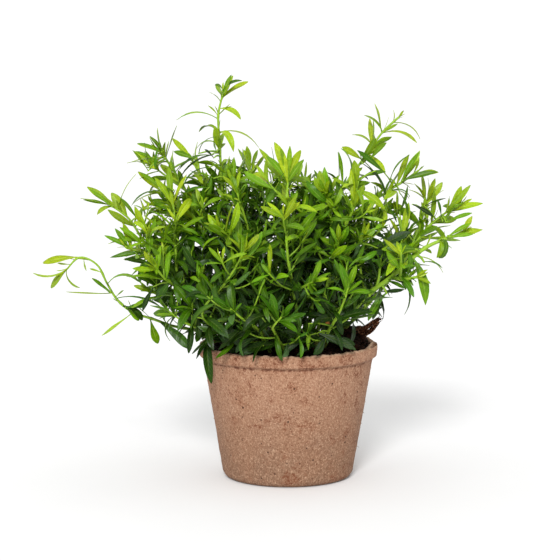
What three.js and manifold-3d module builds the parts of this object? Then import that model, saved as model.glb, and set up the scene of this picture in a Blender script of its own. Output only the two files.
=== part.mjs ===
// A narrow-leaved kitchen herb growing in a round pot of pressed fibre.
// Millimetres, +Z up. The origin is the centre of the pot's flat base, and -Y is the front.
// The plant is a clump of separate leafy stems, each rooted in its own hole in the soil.
import * as THREE from "three";
import { mergeVertices } from "three/addons/utils/BufferGeometryUtils.js";
import Module from "manifold-3d";

const wasm = await Module();
wasm.setup();

// Driving dimensions of the pot: a 12 cm pot, 9 cm high, with a rolled lip.
const POT_HEIGHT = 90;
const POT_BASE_RADIUS = 43;
const POT_BASE_ROUNDING = 5;
const LIP_RADIUS = 60;
const LIP_HEIGHT = 9;
const LIP_STEP = 3.4;
const LIP_EDGE = 1.3;
const LIP_FLARE = 2;
const WALL = 3;
const FLOOR = 3.5;
const POT_SEGMENTS = 32;
const ROUNDING_STEPS = 3;

// Driving dimensions of the soil, a lumpy mound that reaches almost to the lip.
const GAP = 0.3;
const SOIL_EDGE_HEIGHT = 85;
const SOIL_SHOULDER = 6;
const SOIL_MOUND = 4.5;
const SOIL_LUMP = { height: 1.1, x: 4.7, y: 5.3 };
const SOIL_SEGMENTS = 24;
const SOIL_RINGS = [1, 0.82, 0.62, 0.4, 0.2, 0];
const CLUMP = { x: 43, y: 3, height: 9, spread: 8 };

// Stems taper to the tip. A main stem is square in section, as in the whole mint family.
const FOOT_DEPTH = 12;
const FOOT_RADIUS = 1.5;
const TIP_RADIUS = 0.85;
const SHOOT_RADIUS = 1;
const STEM_SIDES = 4;
const SHOOT_SIDES = 3;
const RING_SPACING = { placed: 14, dome: 26, shoot: 19 };
const ABOVE_SOIL = 1.2;
const BALL_SPACING = 2;

// The dry stub of an older root that stands in the soil by the rim.
const ROOT_STUB = [[44, 6], [49, 4, 97], [54, 2, 101], [60, 1, 106]];
const ROOT_STUB_RADIUS = 3;
const ROOT_STUB_TIP = 1;
const ROOT_STUB_SIDES = 6;

// Leaves stand in opposite pairs, each pair turned a quarter from the last.
const BARE_SHARE = 0.24;
const BARE_SHOOT = 10;
const PAIR_SPACING = 23;
const SHOOT_PAIR_SPACING = 19;
const SHOOT_SCALE = 0.85;
const LOWER_LEAF = 27;
const UPPER_LEAF = 20;
const TIP_LEAF = 18;
const LEAF_RATIO = 0.22;
const LEAF_THICKNESS = 0.85;
const LEAF_NECK = 0.14;
const LAST_RING = 0.9;
const NECK_HALF_WIDTH = 0.8;
const LEAST_HALF_WIDTH = 0.7;
const ROOT_SINK = 0.5;

// How the leaves of a pair vary, in degrees: the angle that they make with the stem at its foot
// and how much less it is at the tip, how far they bend over or back, and how far they turn.
const PAIR = { angle: 58, less: 20, vary: 16, over: 78, back: 8, turn: 70, least: 0.86, more: 0.28 };

// The outer and the inner pair of a tuft: how far below the tip they stand, their length as a
// share of TIP_LEAF, their least angle with the stem and how much more it may be, and their bend.
const TUFT = [
  { below: 6, share: 1.1, angle: 34, more: 10, bend: 40 },
  { below: 1, share: 0.85, angle: 15, more: 6, bend: 14 },
];
const TUFT_LENGTH = { least: 0.88, more: 0.24 };
const TUFT_TURN = 50;
const TUFT_WIDTH = 1.15;

// What a leaf tries when its way isn't clear: each try turns it further round the stem, by a
// step in degrees, and makes it less spread, less bent and shorter, by a share.
const LEAF_TRIES = { count: 14, step: 14, angle: 0.03, bend: 0.07, length: 0.022 };
const WANDER = 24;
const LIFT = { least: 0.3, more: 0.25 };
const LEAF_SAMPLES = 9;
const OWN_SHARE = 0.45;

// A side shoot by rule stands on a stem that is long enough, somewhere past its middle.
const SHOOT = { least: 112, length: 38, at: 0.42, tries: 16, step: 2.4, up: 0.3, along: 0.55 };
const SHOOT_BEND = { middle: 0.5, end: 0.95, rise: 0.18 };

const SEEDS = { tuft: 100, pair: 300, dome: 500, shoot: 900 };

const rad = THREE.MathUtils.degToRad;
const UP = new THREE.Vector3(0, 0, 1);
const vector = (p) => new THREE.Vector3(...p);

// Each stem by hand: the foot's x and y, then the points that it passes, and last its tip.
// A side shoot leaves its stem at a share of the stem's length. A leaf that shows by itself
// has the place of its root, as such a share, the place of its tip, its width, how many degrees
// it arches over on the way, and how many it turns its upper face to the front. A negative arch
// sags. A stem that has such leaves at its tip has no tuft there.
const STEMS = [
  {
    name: "stem_trailing_left",
    foot: [-40, -5],
    points: [[-56, -7, 98], [-72, -9, 101], [-88, -12, 107], [-104, -14, 113], [-116, -16, 125],
      [-123, -16, 140], [-131, -16, 149], [-140, -16, 148], [-147, -16, 140]],
    leaves: [
      { at: 0.37, tip: [-65, -20, 89], width: 6.5, arch: 15, face: 50 },
      { at: 0.42, tip: [-86, -19, 92], width: 6.5, arch: 10, face: 50 },
      { at: 0.51, tip: [-124, -10, 96], width: 5, arch: -10, face: 20 },
      { at: 0.56, tip: [-98, -21, 108], width: 5, arch: 60, face: 10 },
      { at: 0.64, tip: [-129, -19, 136], width: 4, arch: 10, face: 30 },
      { at: 0.65, tip: [-147, -12, 126], width: 3, arch: -12, face: 10 },
      { at: 0.7, tip: [-98, -18, 133], width: 4.5, arch: 110, face: 15 },
      { at: 0.88, tip: [-133, -16, 139], width: 2.5, arch: 10, face: 20 },
      { at: 0.9, tip: [-162, -14, 145], width: 6, arch: 20, face: 40 },
      { at: 0.97, tip: [-168, -20, 139], width: 4, arch: -80, face: 20 },
      { at: 0.98, tip: [-157, -12, 128], width: 6, arch: 10, face: 45 },
      { at: 0.99, tip: [-137, -17, 129], width: 2.5, arch: -110, face: 10 },
    ],
    shoots: [],
    bare: true,
  },
  {
    name: "stem_left_high",
    foot: [-26, -4],
    points: [[-36, -7, 108], [-52, -11, 125], [-70, -14, 138], [-88, -18, 150], [-97, -20, 164],
      [-106, -20, 177], [-116, -20, 184]],
    leaves: [
      { at: 0.98, tip: [-132, -18, 196], width: 5, arch: 10, face: 40 },
      { at: 1, tip: [-136, -24, 189], width: 3, arch: 10, face: 15 },
      { at: 0.99, tip: [-125, -23, 178], width: 5, arch: 60, face: 30 },
      { at: 0.9, tip: [-116, -17, 192], width: 6.5, arch: 10, face: 45 },
      { at: 0.96, tip: [-99, -22, 205], width: 2.5, arch: 35, face: 5 },
      { at: 0.85, tip: [-95, -22, 184], width: 3, arch: 10, face: 20 },
      { at: 0.72, tip: [-117, -24, 150], width: 4, arch: 10, face: 15 },
      { at: 0.67, tip: [-108, -11, 147], width: 5, arch: 10, face: 25 },
    ],
    shoots: [{
      at: 0.45,
      points: [[-96, -26, 153], [-106, -30, 158]],
      leaves: [
        { at: 0.87, tip: [-119, -28, 164], width: 3.5, arch: 5, face: 30 },
        { at: 0.9, tip: [-108, -25, 173], width: 5, arch: 5, face: 40 },
      ],
    }],
  },
  {
    name: "stem_upper_left",
    foot: [-23, 9],
    points: [[-38, 9, 122], [-54, 5, 152], [-67, 0, 190], [-78, -4, 209], [-84, -5, 219]],
    leaves: [
      { at: 0.97, tip: [-86, -5, 234], width: 3.5, arch: 20, face: 25 },
      { at: 0.98, tip: [-100, -1, 223], width: 4, arch: 20, face: 25 },
      { at: 0.98, tip: [-91, -8, 228], width: 5, arch: 5, face: 45 },
    ],
    shoots: [{
      at: 0.8,
      points: [[-82, 2, 202], [-90, 4, 208]],
      leaves: [
        { at: 0.8, tip: [-103, 5, 218], width: 5, arch: 5, face: 45 },
        { at: 0.85, tip: [-107, 0, 210], width: 2.5, arch: 60, face: 10 },
      ],
    }, {
      at: 0.6,
      points: [[-70, 3, 179], [-80, 4, 188], [-87, 4, 193]],
      leaves: [
        { at: 0.92, tip: [-100, 6, 204], width: 5, arch: 5, face: 45 },
        { at: 0.86, tip: [-104, 4, 182], width: 3, arch: 45, face: 15 },
        { at: 0.5, tip: [-91, -3, 186], width: 5.5, arch: 5, face: 45 },
      ],
    }],
  },
  {
    name: "stem_tallest",
    foot: [-14, 1],
    points: [[-24, 1, 118], [-35, 1, 146], [-43, 1, 186], [-45, 1, 217], [-46, 0, 245], [-43, 0, 256]],
    leaves: [
      { at: 0.94, tip: [-31, -3, 239], width: 5, arch: 80, face: 25 },
      { at: 0.9, tip: [-74, 3, 238], width: 3.5, arch: 75, face: 15 },
      { at: 0.85, tip: [-19, -2, 220], width: 3.5, arch: 75, face: 10 },
      { at: 0.8, tip: [-61, 5, 219], width: 3, arch: 100, face: 10 },
      { at: 0.97, tip: [-36, 0, 268], width: 5.5, arch: 10, face: 40 },
      { at: 0.98, tip: [-26, -3, 264], width: 5, arch: 25, face: 35 },
      { at: 0.99, tip: [-48, 3, 262], width: 3, arch: 20, face: 20 },
    ],
    shoots: [{
      at: 0.48,
      points: [[-56, 6, 196], [-64, 8, 212]],
      leaves: [
        { at: 0.97, tip: [-77, 8, 226], width: 5.5, arch: 5, face: 45 },
        { at: 0.9, tip: [-60, 6, 224], width: 4, arch: 20, face: 30 },
      ],
    }],
  },
  {
    name: "stem_front_centre",
    foot: [3, -15],
    points: [[6, -34, 108], [3, -54, 134], [-1, -65, 161], [-1, -62, 191], [0, -54, 206]],
    leaves: [
      { at: 0.96, tip: [-9, -57, 228], width: 6, arch: 30, face: 40 },
      { at: 0.99, tip: [8, -58, 223], width: 5, arch: 10, face: 40 },
      { at: 0.08, tip: [-3, -45, 90], width: 6, arch: 15, face: 60 },
      { at: 0.14, tip: [17, -48, 94], width: 4.6, arch: 15, face: 45 },
    ],
    shoots: [{ at: 0.4, points: [[10, -74, 138], [16, -84, 142]], leaves: [] }],
  },
  {
    name: "stem_upper_right",
    foot: [-7, -13],
    points: [[-9, -24, 135], [-2, -28, 163], [9, -27, 172], [21, -22, 178], [32, -17, 190],
      [49, -10, 213], [63, -7, 232], [73, -6, 241]],
    leaves: [
      { at: 0.97, tip: [87, -9, 226], width: 2.5, arch: 80, face: 10 },
      { at: 0.92, tip: [50, -4, 242], width: 4, arch: 60, face: 20 },
      { at: 0.86, tip: [42, -4, 229], width: 3.5, arch: 70, face: 20 },
      { at: 0.87, tip: [56, -11, 240], width: 4, arch: -5, face: 30 },
      { at: 0.8, tip: [35, -16, 222], width: 6, arch: 5, face: 45 },
      { at: 0.82, tip: [65, -5, 224], width: 5, arch: 5, face: 40 },
      { at: 0.83, tip: [64, -14, 204], width: 5, arch: 20, face: 40 },
      { at: 0.8, tip: [62, -8, 195], width: 2.5, arch: 30, face: 15 },
      { at: 0.68, tip: [33, -16, 219], width: 3.5, arch: 5, face: 30 },
    ],
    shoots: [{ at: 0.64, points: [[22, -34, 188], [24, -38, 194]], leaves: [] }],
  },
  {
    name: "stem_right_middle",
    foot: [14, -8],
    points: [[24, -16, 124], [33, -22, 152], [41, -23, 180], [46, -21, 200]],
    leaves: [
      { at: 0.95, tip: [63, -28, 182], width: 6, arch: 30, face: 40 },
      { at: 0.97, tip: [43, -22, 214], width: 6, arch: 5, face: 45 },
      { at: 0.9, tip: [28, -30, 203], width: 4, arch: 40, face: 25 },
    ],
    shoots: [{ at: 0.45, points: [[42, -42, 158], [48, -50, 166]], leaves: [] }],
  },
  {
    name: "stem_right_high",
    foot: [22, 6],
    points: [[29, 2, 125], [38, -3, 151], [48, -5, 176], [60, -7, 188], [75, -8, 198], [86, -9, 206]],
    leaves: [
      { at: 0.9, tip: [87, -6, 219], width: 5, arch: 5, face: 35 },
      { at: 0.96, tip: [99, -12, 205], width: 5.5, arch: 15, face: 35 },
      { at: 0.87, tip: [80, -2, 216], width: 4, arch: 45, face: 20 },
      { at: 0.83, tip: [80, -12, 187], width: 2.5, arch: 80, face: 5 },
    ],
    shoots: [{ at: 0.42, points: [[58, 8, 147], [70, 12, 153]], leaves: [] }],
  },
  {
    name: "stem_right_thick",
    foot: [24, -12],
    points: [[34, -20, 108], [44, -26, 118], [55, -33, 129], [72, -38, 143], [84, -40, 155],
      [96, -40, 162], [108, -40, 166], [115, -40, 168]],
    leaves: [
      { at: 0.91, tip: [126, -40, 170], width: 5.5, arch: 15, face: 35 },
      { at: 0.86, tip: [96, -43, 152], width: 4, arch: 150, face: 25 },
      { at: 0.7, tip: [89, -44, 121], width: 7, arch: 40, face: 45 },
      { at: 0.71, tip: [101, -36, 141], width: 2.5, arch: 70, face: 10 },
      { at: 0.41, tip: [31, -40, 114], width: 7, arch: 15, face: 30 },
      { at: 0.48, tip: [55, -38, 111], width: 5, arch: 40, face: 25 },
      { at: 0.05, tip: [33, -28, 103], width: 5, arch: 20, face: 30 },
      { at: 0.52, tip: [75, -42, 132], width: 3.5, arch: 20, face: 30 },
      { at: 0.74, tip: [60, -48, 158], width: 6, arch: 20, face: 45 },
      { at: 0.98, tip: [119, -40, 179], width: 4, arch: 10, face: 30 },
    ],
    shoots: [{
      at: 0.55,
      points: [[76, -43, 138], [83, -46, 140]],
      leaves: [
        { at: 0.9, tip: [92, -48, 136], width: 3.5, arch: 25, face: 25 },
        { at: 0.95, tip: [90, -47, 145], width: 3, arch: 10, face: 20 },
      ],
    }],
    bare: true,
  },
  {
    name: "stem_right_low",
    foot: [36, 3],
    points: [[50, -5, 113], [64, -12, 130], [77, -17, 148], [88, -18, 165], [98, -18, 175],
      [107, -18, 181], [114, -17, 185]],
    leaves: [
      { at: 0.9, tip: [128, -18, 185], width: 5.5, arch: 15, face: 40 },
      { at: 0.92, tip: [114, -14, 196], width: 5, arch: 10, face: 40 },
      { at: 0.88, tip: [114, -27, 184], width: 6, arch: 15, face: 45 },
    ],
    shoots: [{
      at: 0.6,
      points: [[89, -9, 175], [93, -7, 190]],
      leaves: [
        { at: 0.79, tip: [88, -8, 204], width: 4.5, arch: 5, face: 30 },
        { at: 0.83, tip: [102, -5, 198], width: 5, arch: 5, face: 35 },
        { at: 0.78, tip: [103, -12, 188], width: 3.5, arch: 10, face: 15 },
      ],
    }, {
      at: 0.42,
      points: [[72, -20, 150], [75, -22, 163]],
      leaves: [
        { at: 0.95, tip: [79, -20, 186], width: 4.7, arch: -10, face: 45 },
        { at: 0.9, tip: [66, -20, 176], width: 3.5, arch: 20, face: 30 },
      ],
    }],
  },
  {
    name: "stem_front_left",
    foot: [-28, -20],
    points: [[-45, -37, 104], [-55, -51, 114], [-52, -61, 125], [-41, -69, 138], [-31, -75, 154],
      [-28, -76, 160]],
    leaves: [],
    shoots: [],
  },
  {
    name: "stem_left_rim",
    foot: [-38, -17],
    points: [[-48, -23, 98], [-57, -29, 103], [-67, -33, 108], [-78, -34, 116]],
    leaves: [
      { at: 0.42, tip: [-50, -41, 69], width: 6.5, arch: 25, face: 45 },
      { at: 0.5, tip: [-60, -37, 96], width: 4.5, arch: 10, face: 50 },
    ],
    shoots: [],
  },
  {
    name: "stem_left_front",
    foot: [-33, -12],
    points: [[-49, -20, 107], [-64, -27, 121], [-72, -30, 137], [-73, -31, 151], [-74, -30, 165],
      [-74, -28, 178], [-76, -26, 190]],
    leaves: [
      { at: 0.99, tip: [-78, -24, 210], width: 4.5, arch: 5, face: 40 },
      { at: 0.96, tip: [-66, -28, 205], width: 4, arch: 10, face: 30 },
      { at: 0.95, tip: [-87, -28, 203], width: 4, arch: 15, face: 40 },
      { at: 0.78, tip: [-54, -34, 178], width: 4.5, arch: 30, face: 25 },
      { at: 0.74, tip: [-87, -33, 163], width: 4, arch: 20, face: 30 },
      { at: 0.66, tip: [-58, -38, 142], width: 4.5, arch: 20, face: 30 },
      { at: 0.5, tip: [-97, -35, 142], width: 5, arch: 20, face: 40 },
    ],
    shoots: [],
  },
  {
    name: "stem_front_low_left",
    foot: [-12, -30],
    points: [[-19, -50, 106], [-28, -68, 115], [-37, -77, 124]],
    leaves: [
      { at: 0.08, tip: [-30, -38, 91], width: 5, arch: 10, face: 60 },
      { at: 0.6, tip: [-40, -52, 97], width: 6, arch: 10, face: 60 },
    ],
    shoots: [],
  },
  {
    name: "stem_front_low_middle",
    foot: [-2, -38],
    points: [[-8, -56, 104], [-10, -68, 110], [-4, -78, 119]],
    leaves: [],
    shoots: [],
  },
  {
    name: "stem_front_low_right",
    foot: [20, -30],
    points: [[27, -50, 107], [33, -68, 121], [38, -78, 138]],
    leaves: [
      { at: 0.2, tip: [44, -36, 94], width: 6.5, arch: 20, face: 55 },
    ],
    shoots: [],
  },
];

// The rest of the clump by rule: tips spread evenly over an egg-shaped dome. Each stem has the
// way that it leans, in degrees round the pot from +X, and how far it leans from upright. A lower
// one has a share of the dome's reach.
const DOME = { x: 96, y: 94, z: 106, base: 104, foot: 40, least: 0.94, more: 0.1 };
const DOME_ROUTE = [[0.22, 0.34], [0.56, 0.7]];
const DOME_TRIES = { count: 30, turn: 2, lean: 0.5, ownSoil: 8 };
const DOME_STEMS = [
  { name: "stem_back_left", turn: 148, lean: 66 },
  { name: "stem_back_middle_left", turn: 116, lean: 52 },
  { name: "stem_back_middle_right", turn: 78, lean: 60 },
  { name: "stem_back_right", turn: 40, lean: 66 },
  { name: "stem_right_back", turn: 14, lean: 62 },
  { name: "stem_left_back", turn: 172, lean: 56 },
  { name: "stem_crown_back_left", turn: 130, lean: 24 },
  { name: "stem_crown_back_right", turn: 55, lean: 28, reach: 0.88 },
  { name: "stem_crown_front_left", turn: 225, lean: 30 },
  { name: "stem_crown_front_right", turn: 318, lean: 40 },
  { name: "stem_crown_centre", turn: 20, lean: 8, reach: 0.84 },
  { name: "stem_back_low_left", turn: 132, lean: 84 },
  { name: "stem_back_low_middle", turn: 95, lean: 86 },
  { name: "stem_back_low_right", turn: 62, lean: 84 },
  { name: "stem_left_low", turn: 187, lean: 80 },
  { name: "stem_left_middle", turn: 193, lean: 46 },
  { name: "stem_crown_left", turn: 190, lean: 24 },
  { name: "stem_crown_right", turn: 350, lean: 20, reach: 0.84 },
];

// A repeatable draw between 0 and 1, so that every build grows the same plant.
function drawFrom(seed) {
  const modulus = 2147483647;
  let state = (seed * 7919 + 13) % modulus;
  return () => {
    state = (state * 48271) % modulus;
    return state / modulus;
  };
}

function wallRadius(z) {
  const top = LIP_RADIUS - LIP_STEP;
  return POT_BASE_RADIUS + ((top - POT_BASE_RADIUS) * z) / (POT_HEIGHT - LIP_HEIGHT);
}

// The soil is a low mound with lumps and a clump by the rim, all level where it meets the wall.
function soilHeight(x, y) {
  const r = Math.min(1, Math.hypot(x, y) / wallRadius(SOIL_EDGE_HEIGHT));
  const mound = SOIL_MOUND * (1 - r * r);
  const waves = Math.sin(x / SOIL_LUMP.x + 1) * Math.cos(y / SOIL_LUMP.y);
  const lumps = SOIL_LUMP.height * waves * (1 - r ** 4);
  const far = ((x - CLUMP.x) ** 2 + (y - CLUMP.y) ** 2) / (2 * CLUMP.spread ** 2);
  return SOIL_EDGE_HEIGHT + mound + lumps + CLUMP.height * Math.exp(-far) * (1 - r ** 12);
}

// A lathe or a loft becomes a solid once its vertices that share a place are merged.
function solidOf(geometry) {
  const bare = new THREE.BufferGeometry();
  bare.setAttribute("position", geometry.getAttribute("position"));
  bare.setIndex(geometry.index);
  const merged = mergeVertices(bare, 1e-4);
  return new wasm.Manifold(new wasm.Mesh({
    numProp: 3,
    vertProperties: new Float32Array(merged.attributes.position.array),
    triVerts: new Uint32Array(merged.index.array),
  }));
}

function geometryOf(solid) {
  const mesh = solid.getMesh();
  const geometry = new THREE.BufferGeometry();
  geometry.setAttribute("position", new THREE.BufferAttribute(mesh.vertProperties, 3));
  geometry.setIndex(new THREE.BufferAttribute(mesh.triVerts, 1));
  geometry.computeVertexNormals();
  return geometry;
}

// A closed skin over rings of equal size. It starts and ends in a flat cap, or in a point.
function loft(rings, first, end) {
  const size = rings[0].length;
  const positions = rings.flat().flatMap((v) => [v.x, v.y, v.z]);
  const faces = [];
  for (let i = 0; i + 1 < rings.length; i++) {
    for (let j = 0; j < size; j++) {
      const a = i * size + j;
      const b = i * size + ((j + 1) % size);
      faces.push(a, b, b + size, a, b + size, a + size);
    }
  }
  const last = (rings.length - 1) * size;
  for (let j = 1; !first && j + 1 < size; j++) {
    faces.push(0, j + 1, j, last, last + j, last + j + 1);
  }
  for (let j = 0; first && j < size; j++) {
    const next = (j + 1) % size;
    faces.push(next, j, last + size, last + j, last + next, last + size + 1);
  }
  if (first) positions.push(...first.toArray(), ...end.toArray());
  const geometry = new THREE.BufferGeometry();
  geometry.setAttribute("position", new THREE.Float32BufferAttribute(positions, 3));
  geometry.setIndex(faces);
  return geometry;
}

function potGeometry() {
  const profile = [new THREE.Vector2(0, 0)];
  for (let i = 0; i <= ROUNDING_STEPS; i++) {
    const a = (i / ROUNDING_STEPS) * (Math.PI / 2);
    const x = wallRadius(POT_BASE_ROUNDING) - POT_BASE_ROUNDING * (1 - Math.sin(a));
    profile.push(new THREE.Vector2(x, POT_BASE_ROUNDING * (1 - Math.cos(a))));
  }
  const lipFoot = POT_HEIGHT - LIP_HEIGHT;
  const bore = LIP_RADIUS - LIP_STEP - WALL + LIP_EDGE;
  const shoulder = SOIL_EDGE_HEIGHT - SOIL_SHOULDER;
  profile.push(
    new THREE.Vector2(wallRadius(lipFoot - LIP_FLARE), lipFoot - LIP_FLARE),
    new THREE.Vector2(LIP_RADIUS - LIP_EDGE, lipFoot),
    new THREE.Vector2(LIP_RADIUS, lipFoot + 2 * LIP_EDGE),
    new THREE.Vector2(LIP_RADIUS, POT_HEIGHT - 2 * LIP_EDGE),
    new THREE.Vector2(LIP_RADIUS - LIP_EDGE, POT_HEIGHT),
    new THREE.Vector2(bore + LIP_EDGE, POT_HEIGHT),
    new THREE.Vector2(bore, POT_HEIGHT - LIP_EDGE),
    new THREE.Vector2(wallRadius(shoulder) - WALL, shoulder),
    new THREE.Vector2(wallRadius(FLOOR) - WALL, FLOOR),
    new THREE.Vector2(0, FLOOR),
  );
  return new THREE.LatheGeometry(profile, POT_SEGMENTS).rotateX(Math.PI / 2);
}

// Soil fills the pot from its floor, with a plain hole for each thing that is rooted in it.
function soilSolid(holes) {
  const shoulder = SOIL_EDGE_HEIGHT - SOIL_SHOULDER;
  const inset = WALL + 1.5 * GAP;
  const top = wallRadius(shoulder) - inset;
  const profile = [
    new THREE.Vector2(0, FLOOR + GAP),
    new THREE.Vector2(wallRadius(FLOOR) - inset, FLOOR + GAP),
    new THREE.Vector2(top, shoulder),
  ];
  for (const share of SOIL_RINGS) profile.push(new THREE.Vector2(top * share, SOIL_EDGE_HEIGHT));
  const geometry = new THREE.LatheGeometry(profile, SOIL_SEGMENTS).rotateX(Math.PI / 2);
  const position = geometry.getAttribute("position");
  for (let i = 0; i < position.count; i++) {
    if (position.getZ(i) <= shoulder) continue;
    position.setZ(i, soilHeight(position.getX(i), position.getY(i)));
  }
  return holes.reduce((soil, hole) => soil.subtract(hole), solidOf(geometry));
}

// A path is a chain of places with their distance from the start, their direction, and a side
// that never spins. With a foot, the chain starts straight down in the soil.
function layPath(points, spacing, foot) {
  const curve = new THREE.CatmullRomCurve3(points, false, "catmullrom", 0.5);
  const place = curve.getSpacedPoints(Math.max(2, Math.round(curve.getLength() / spacing)));
  if (foot) place.unshift(foot);
  const last = place.length - 1;
  const distance = [0];
  for (let i = 1; i <= last; i++) distance.push(distance[i - 1] + place[i].distanceTo(place[i - 1]));
  const along = place.map((_, i) => place[Math.min(i + 1, last)].clone()
    .sub(place[Math.max(i - 1, 0)]).normalize());
  const side = [];
  let turned = new THREE.Vector3(1, 0, 0);
  for (const t of along) {
    turned = turned.clone().addScaledVector(t, -t.dot(turned)).normalize();
    side.push(turned);
  }
  return { place, distance, along, side, length: distance[last], start: foot ? distance[1] : 0 };
}

function onPath(path, s) {
  let i = 1;
  while (i < path.place.length - 1 && path.distance[i] < s) i++;
  const span = path.distance[i] - path.distance[i - 1];
  const f = THREE.MathUtils.clamp((s - path.distance[i - 1]) / span, 0, 1);
  const along = path.along[i - 1].clone().lerp(path.along[i], f).normalize();
  const side = path.side[i - 1].clone().lerp(path.side[i], f);
  return {
    place: path.place[i - 1].clone().lerp(path.place[i], f),
    along,
    side: side.addScaledVector(along, -side.dot(along)).normalize(),
  };
}

const atShare = (path, at) => path.start + at * (path.length - path.start);

// A tube of a few flat sides along a path, tapering from one radius to the other.
function tubeSolid(path, from, to, sides) {
  const rings = path.place.map((place, i) => {
    const across = path.along[i].clone().cross(path.side[i]);
    const radius = from + (to - from) * (path.distance[i] / path.length);
    return Array.from({ length: sides }, (_, j) => {
      const a = ((j + 0.5) * 2 * Math.PI) / sides;
      return place.clone()
        .addScaledVector(path.side[i], radius * Math.cos(a))
        .addScaledVector(across, radius * Math.sin(a));
    });
  });
  return solidOf(loft(rings));
}

// A leaf's midrib is an arc: it leaves at an angle from a direction and bends on by a further angle.
function leafPoint(leaf, u) {
  const a = leaf.angle;
  const k = Math.abs(leaf.bend) < 1e-3 ? 1e-3 : leaf.bend;
  const ahead = (Math.sin(a + k * u) - Math.sin(a)) / k;
  const aside = (Math.cos(a) - Math.cos(a + k * u)) / k;
  return leaf.root.clone()
    .addScaledVector(leaf.along, leaf.length * ahead)
    .addScaledVector(leaf.out, leaf.length * aside);
}

// The direction that the leaf's upper face looks in at u.
function leafNormal(leaf, u) {
  const a = leaf.angle + leaf.bend * u;
  return leaf.along.clone().multiplyScalar(Math.sin(a)).addScaledVector(leaf.out, -Math.cos(a));
}

// Half the width at u: a lance shape, widest past the middle, on a short neck.
function leafHalfWidth(leaf, u) {
  const lance = Math.sin(Math.PI * Math.min(1, u) ** 1.3) ** 0.85;
  return Math.max(NECK_HALF_WIDTH * (1 - u), 0.5 * leaf.width * lance);
}

// How many rings a leaf has: more on a long or bent one.
function leafRings(leaf) {
  return THREE.MathUtils.clamp(Math.round(0.4 + leaf.length / 14 + Math.abs(leaf.bend)), 2, 4);
}

// The blade is flat above and keeled below: each ring is its two edges and the keel. It runs
// from a point sunk in the stem to its tip.
function leafSolid(leaf) {
  const count = leafRings(leaf);
  const across = leaf.along.clone().cross(leaf.out);
  const rings = [];
  for (let i = 0; i < count; i++) {
    const u = LEAF_NECK + (LAST_RING * i) / count;
    const centre = leafPoint(leaf, u);
    const normal = leafNormal(leaf, u);
    const half = leafHalfWidth(leaf, u);
    const width = across.clone().multiplyScalar(Math.cos(leaf.roll))
      .addScaledVector(normal, Math.sin(leaf.roll)).multiplyScalar(half);
    const keel = LEAF_THICKNESS * (1 - 0.25 * u);
    centre.addScaledVector(normal, keel / 2);
    rings.push([
      centre.clone().add(width),
      centre.clone().sub(width),
      centre.clone().addScaledVector(normal, -keel),
    ]);
  }
  return solidOf(loft(rings, leafPoint(leaf, -ROOT_SINK / leaf.length), leafPoint(leaf, 1)));
}

// Balls along every stem and leaf so far, used to bend each new one clear of its neighbours.
const taken = [];

// Whether a ball is clear of the pot and the soil: beside the pot and off the ground, over the
// soil inside it, or above its lip.
function standsClearOfPot(p, r) {
  const reach = Math.hypot(p.x, p.y);
  if (reach - r > LIP_RADIUS + GAP) return p.z - r > 2;
  if (reach + r < LIP_RADIUS - LIP_STEP - WALL) return p.z - 1 > soilHeight(p.x, p.y);
  return p.z - r > POT_HEIGHT + GAP;
}

function leafBalls(leaf) {
  const balls = [];
  for (let i = 1; i <= LEAF_SAMPLES; i++) {
    const u = i / LEAF_SAMPLES;
    balls.push({ place: leafPoint(leaf, u), radius: Math.max(LEAST_HALF_WIDTH, leafHalfWidth(leaf, u)) });
  }
  return balls;
}

function stemBalls(path, from, to) {
  const balls = [];
  const count = Math.ceil(path.length / BALL_SPACING);
  for (let i = 0; i <= count; i++) {
    const f = i / count;
    balls.push({ place: onPath(path, f * path.length).place, radius: from + (to - from) * f });
  }
  return balls;
}

// Leaves of one stem may lie closer together than those of two stems, because they are joined.
// The balls before firstFree may touch their own stem and the soil, since they start there.
function isClear(balls, owner, firstFree) {
  return balls.every(({ place, radius }, i) => {
    if (i >= firstFree && !standsClearOfPot(place, radius)) return false;
    return taken.every((other) => {
      const own = other.owner === owner;
      if (own && (other.stem || i < firstFree)) return true;
      const limit = own ? OWN_SHARE * (radius + other.radius) : radius + other.radius + GAP;
      return place.distanceToSquared(other.place) > limit * limit;
    });
  });
}

function take(balls, owner, stem) {
  for (const ball of balls) taken.push({ ...ball, owner, stem });
}

// A leaf by hand, from its root on the stem to its tip, arched upwards and away from the pot.
function placedLeaf(path, { at, tip, width, arch, face }) {
  const root = onPath(path, atShare(path, at)).place;
  const along = vector(tip).sub(root);
  const chord = along.length();
  along.normalize();
  const lift = new THREE.Vector3(root.x, root.y, 0).normalize().multiplyScalar(0.4).add(UP);
  const out = lift.addScaledVector(along, -lift.dot(along)).normalize().negate();
  const half = rad(arch) / 2;
  const roll = rad(face) * Math.sign(along.clone().cross(out).y);
  return {
    root, along, out, roll, width, angle: -half, bend: 2 * half,
    length: (chord * half) / Math.sin(half),
  };
}

// A direction square to a path, turned to an angle round it.
function squareTo(here, angle) {
  const across = here.along.clone().cross(here.side);
  return here.side.clone().multiplyScalar(Math.cos(angle)).addScaledVector(across, Math.sin(angle));
}

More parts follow.
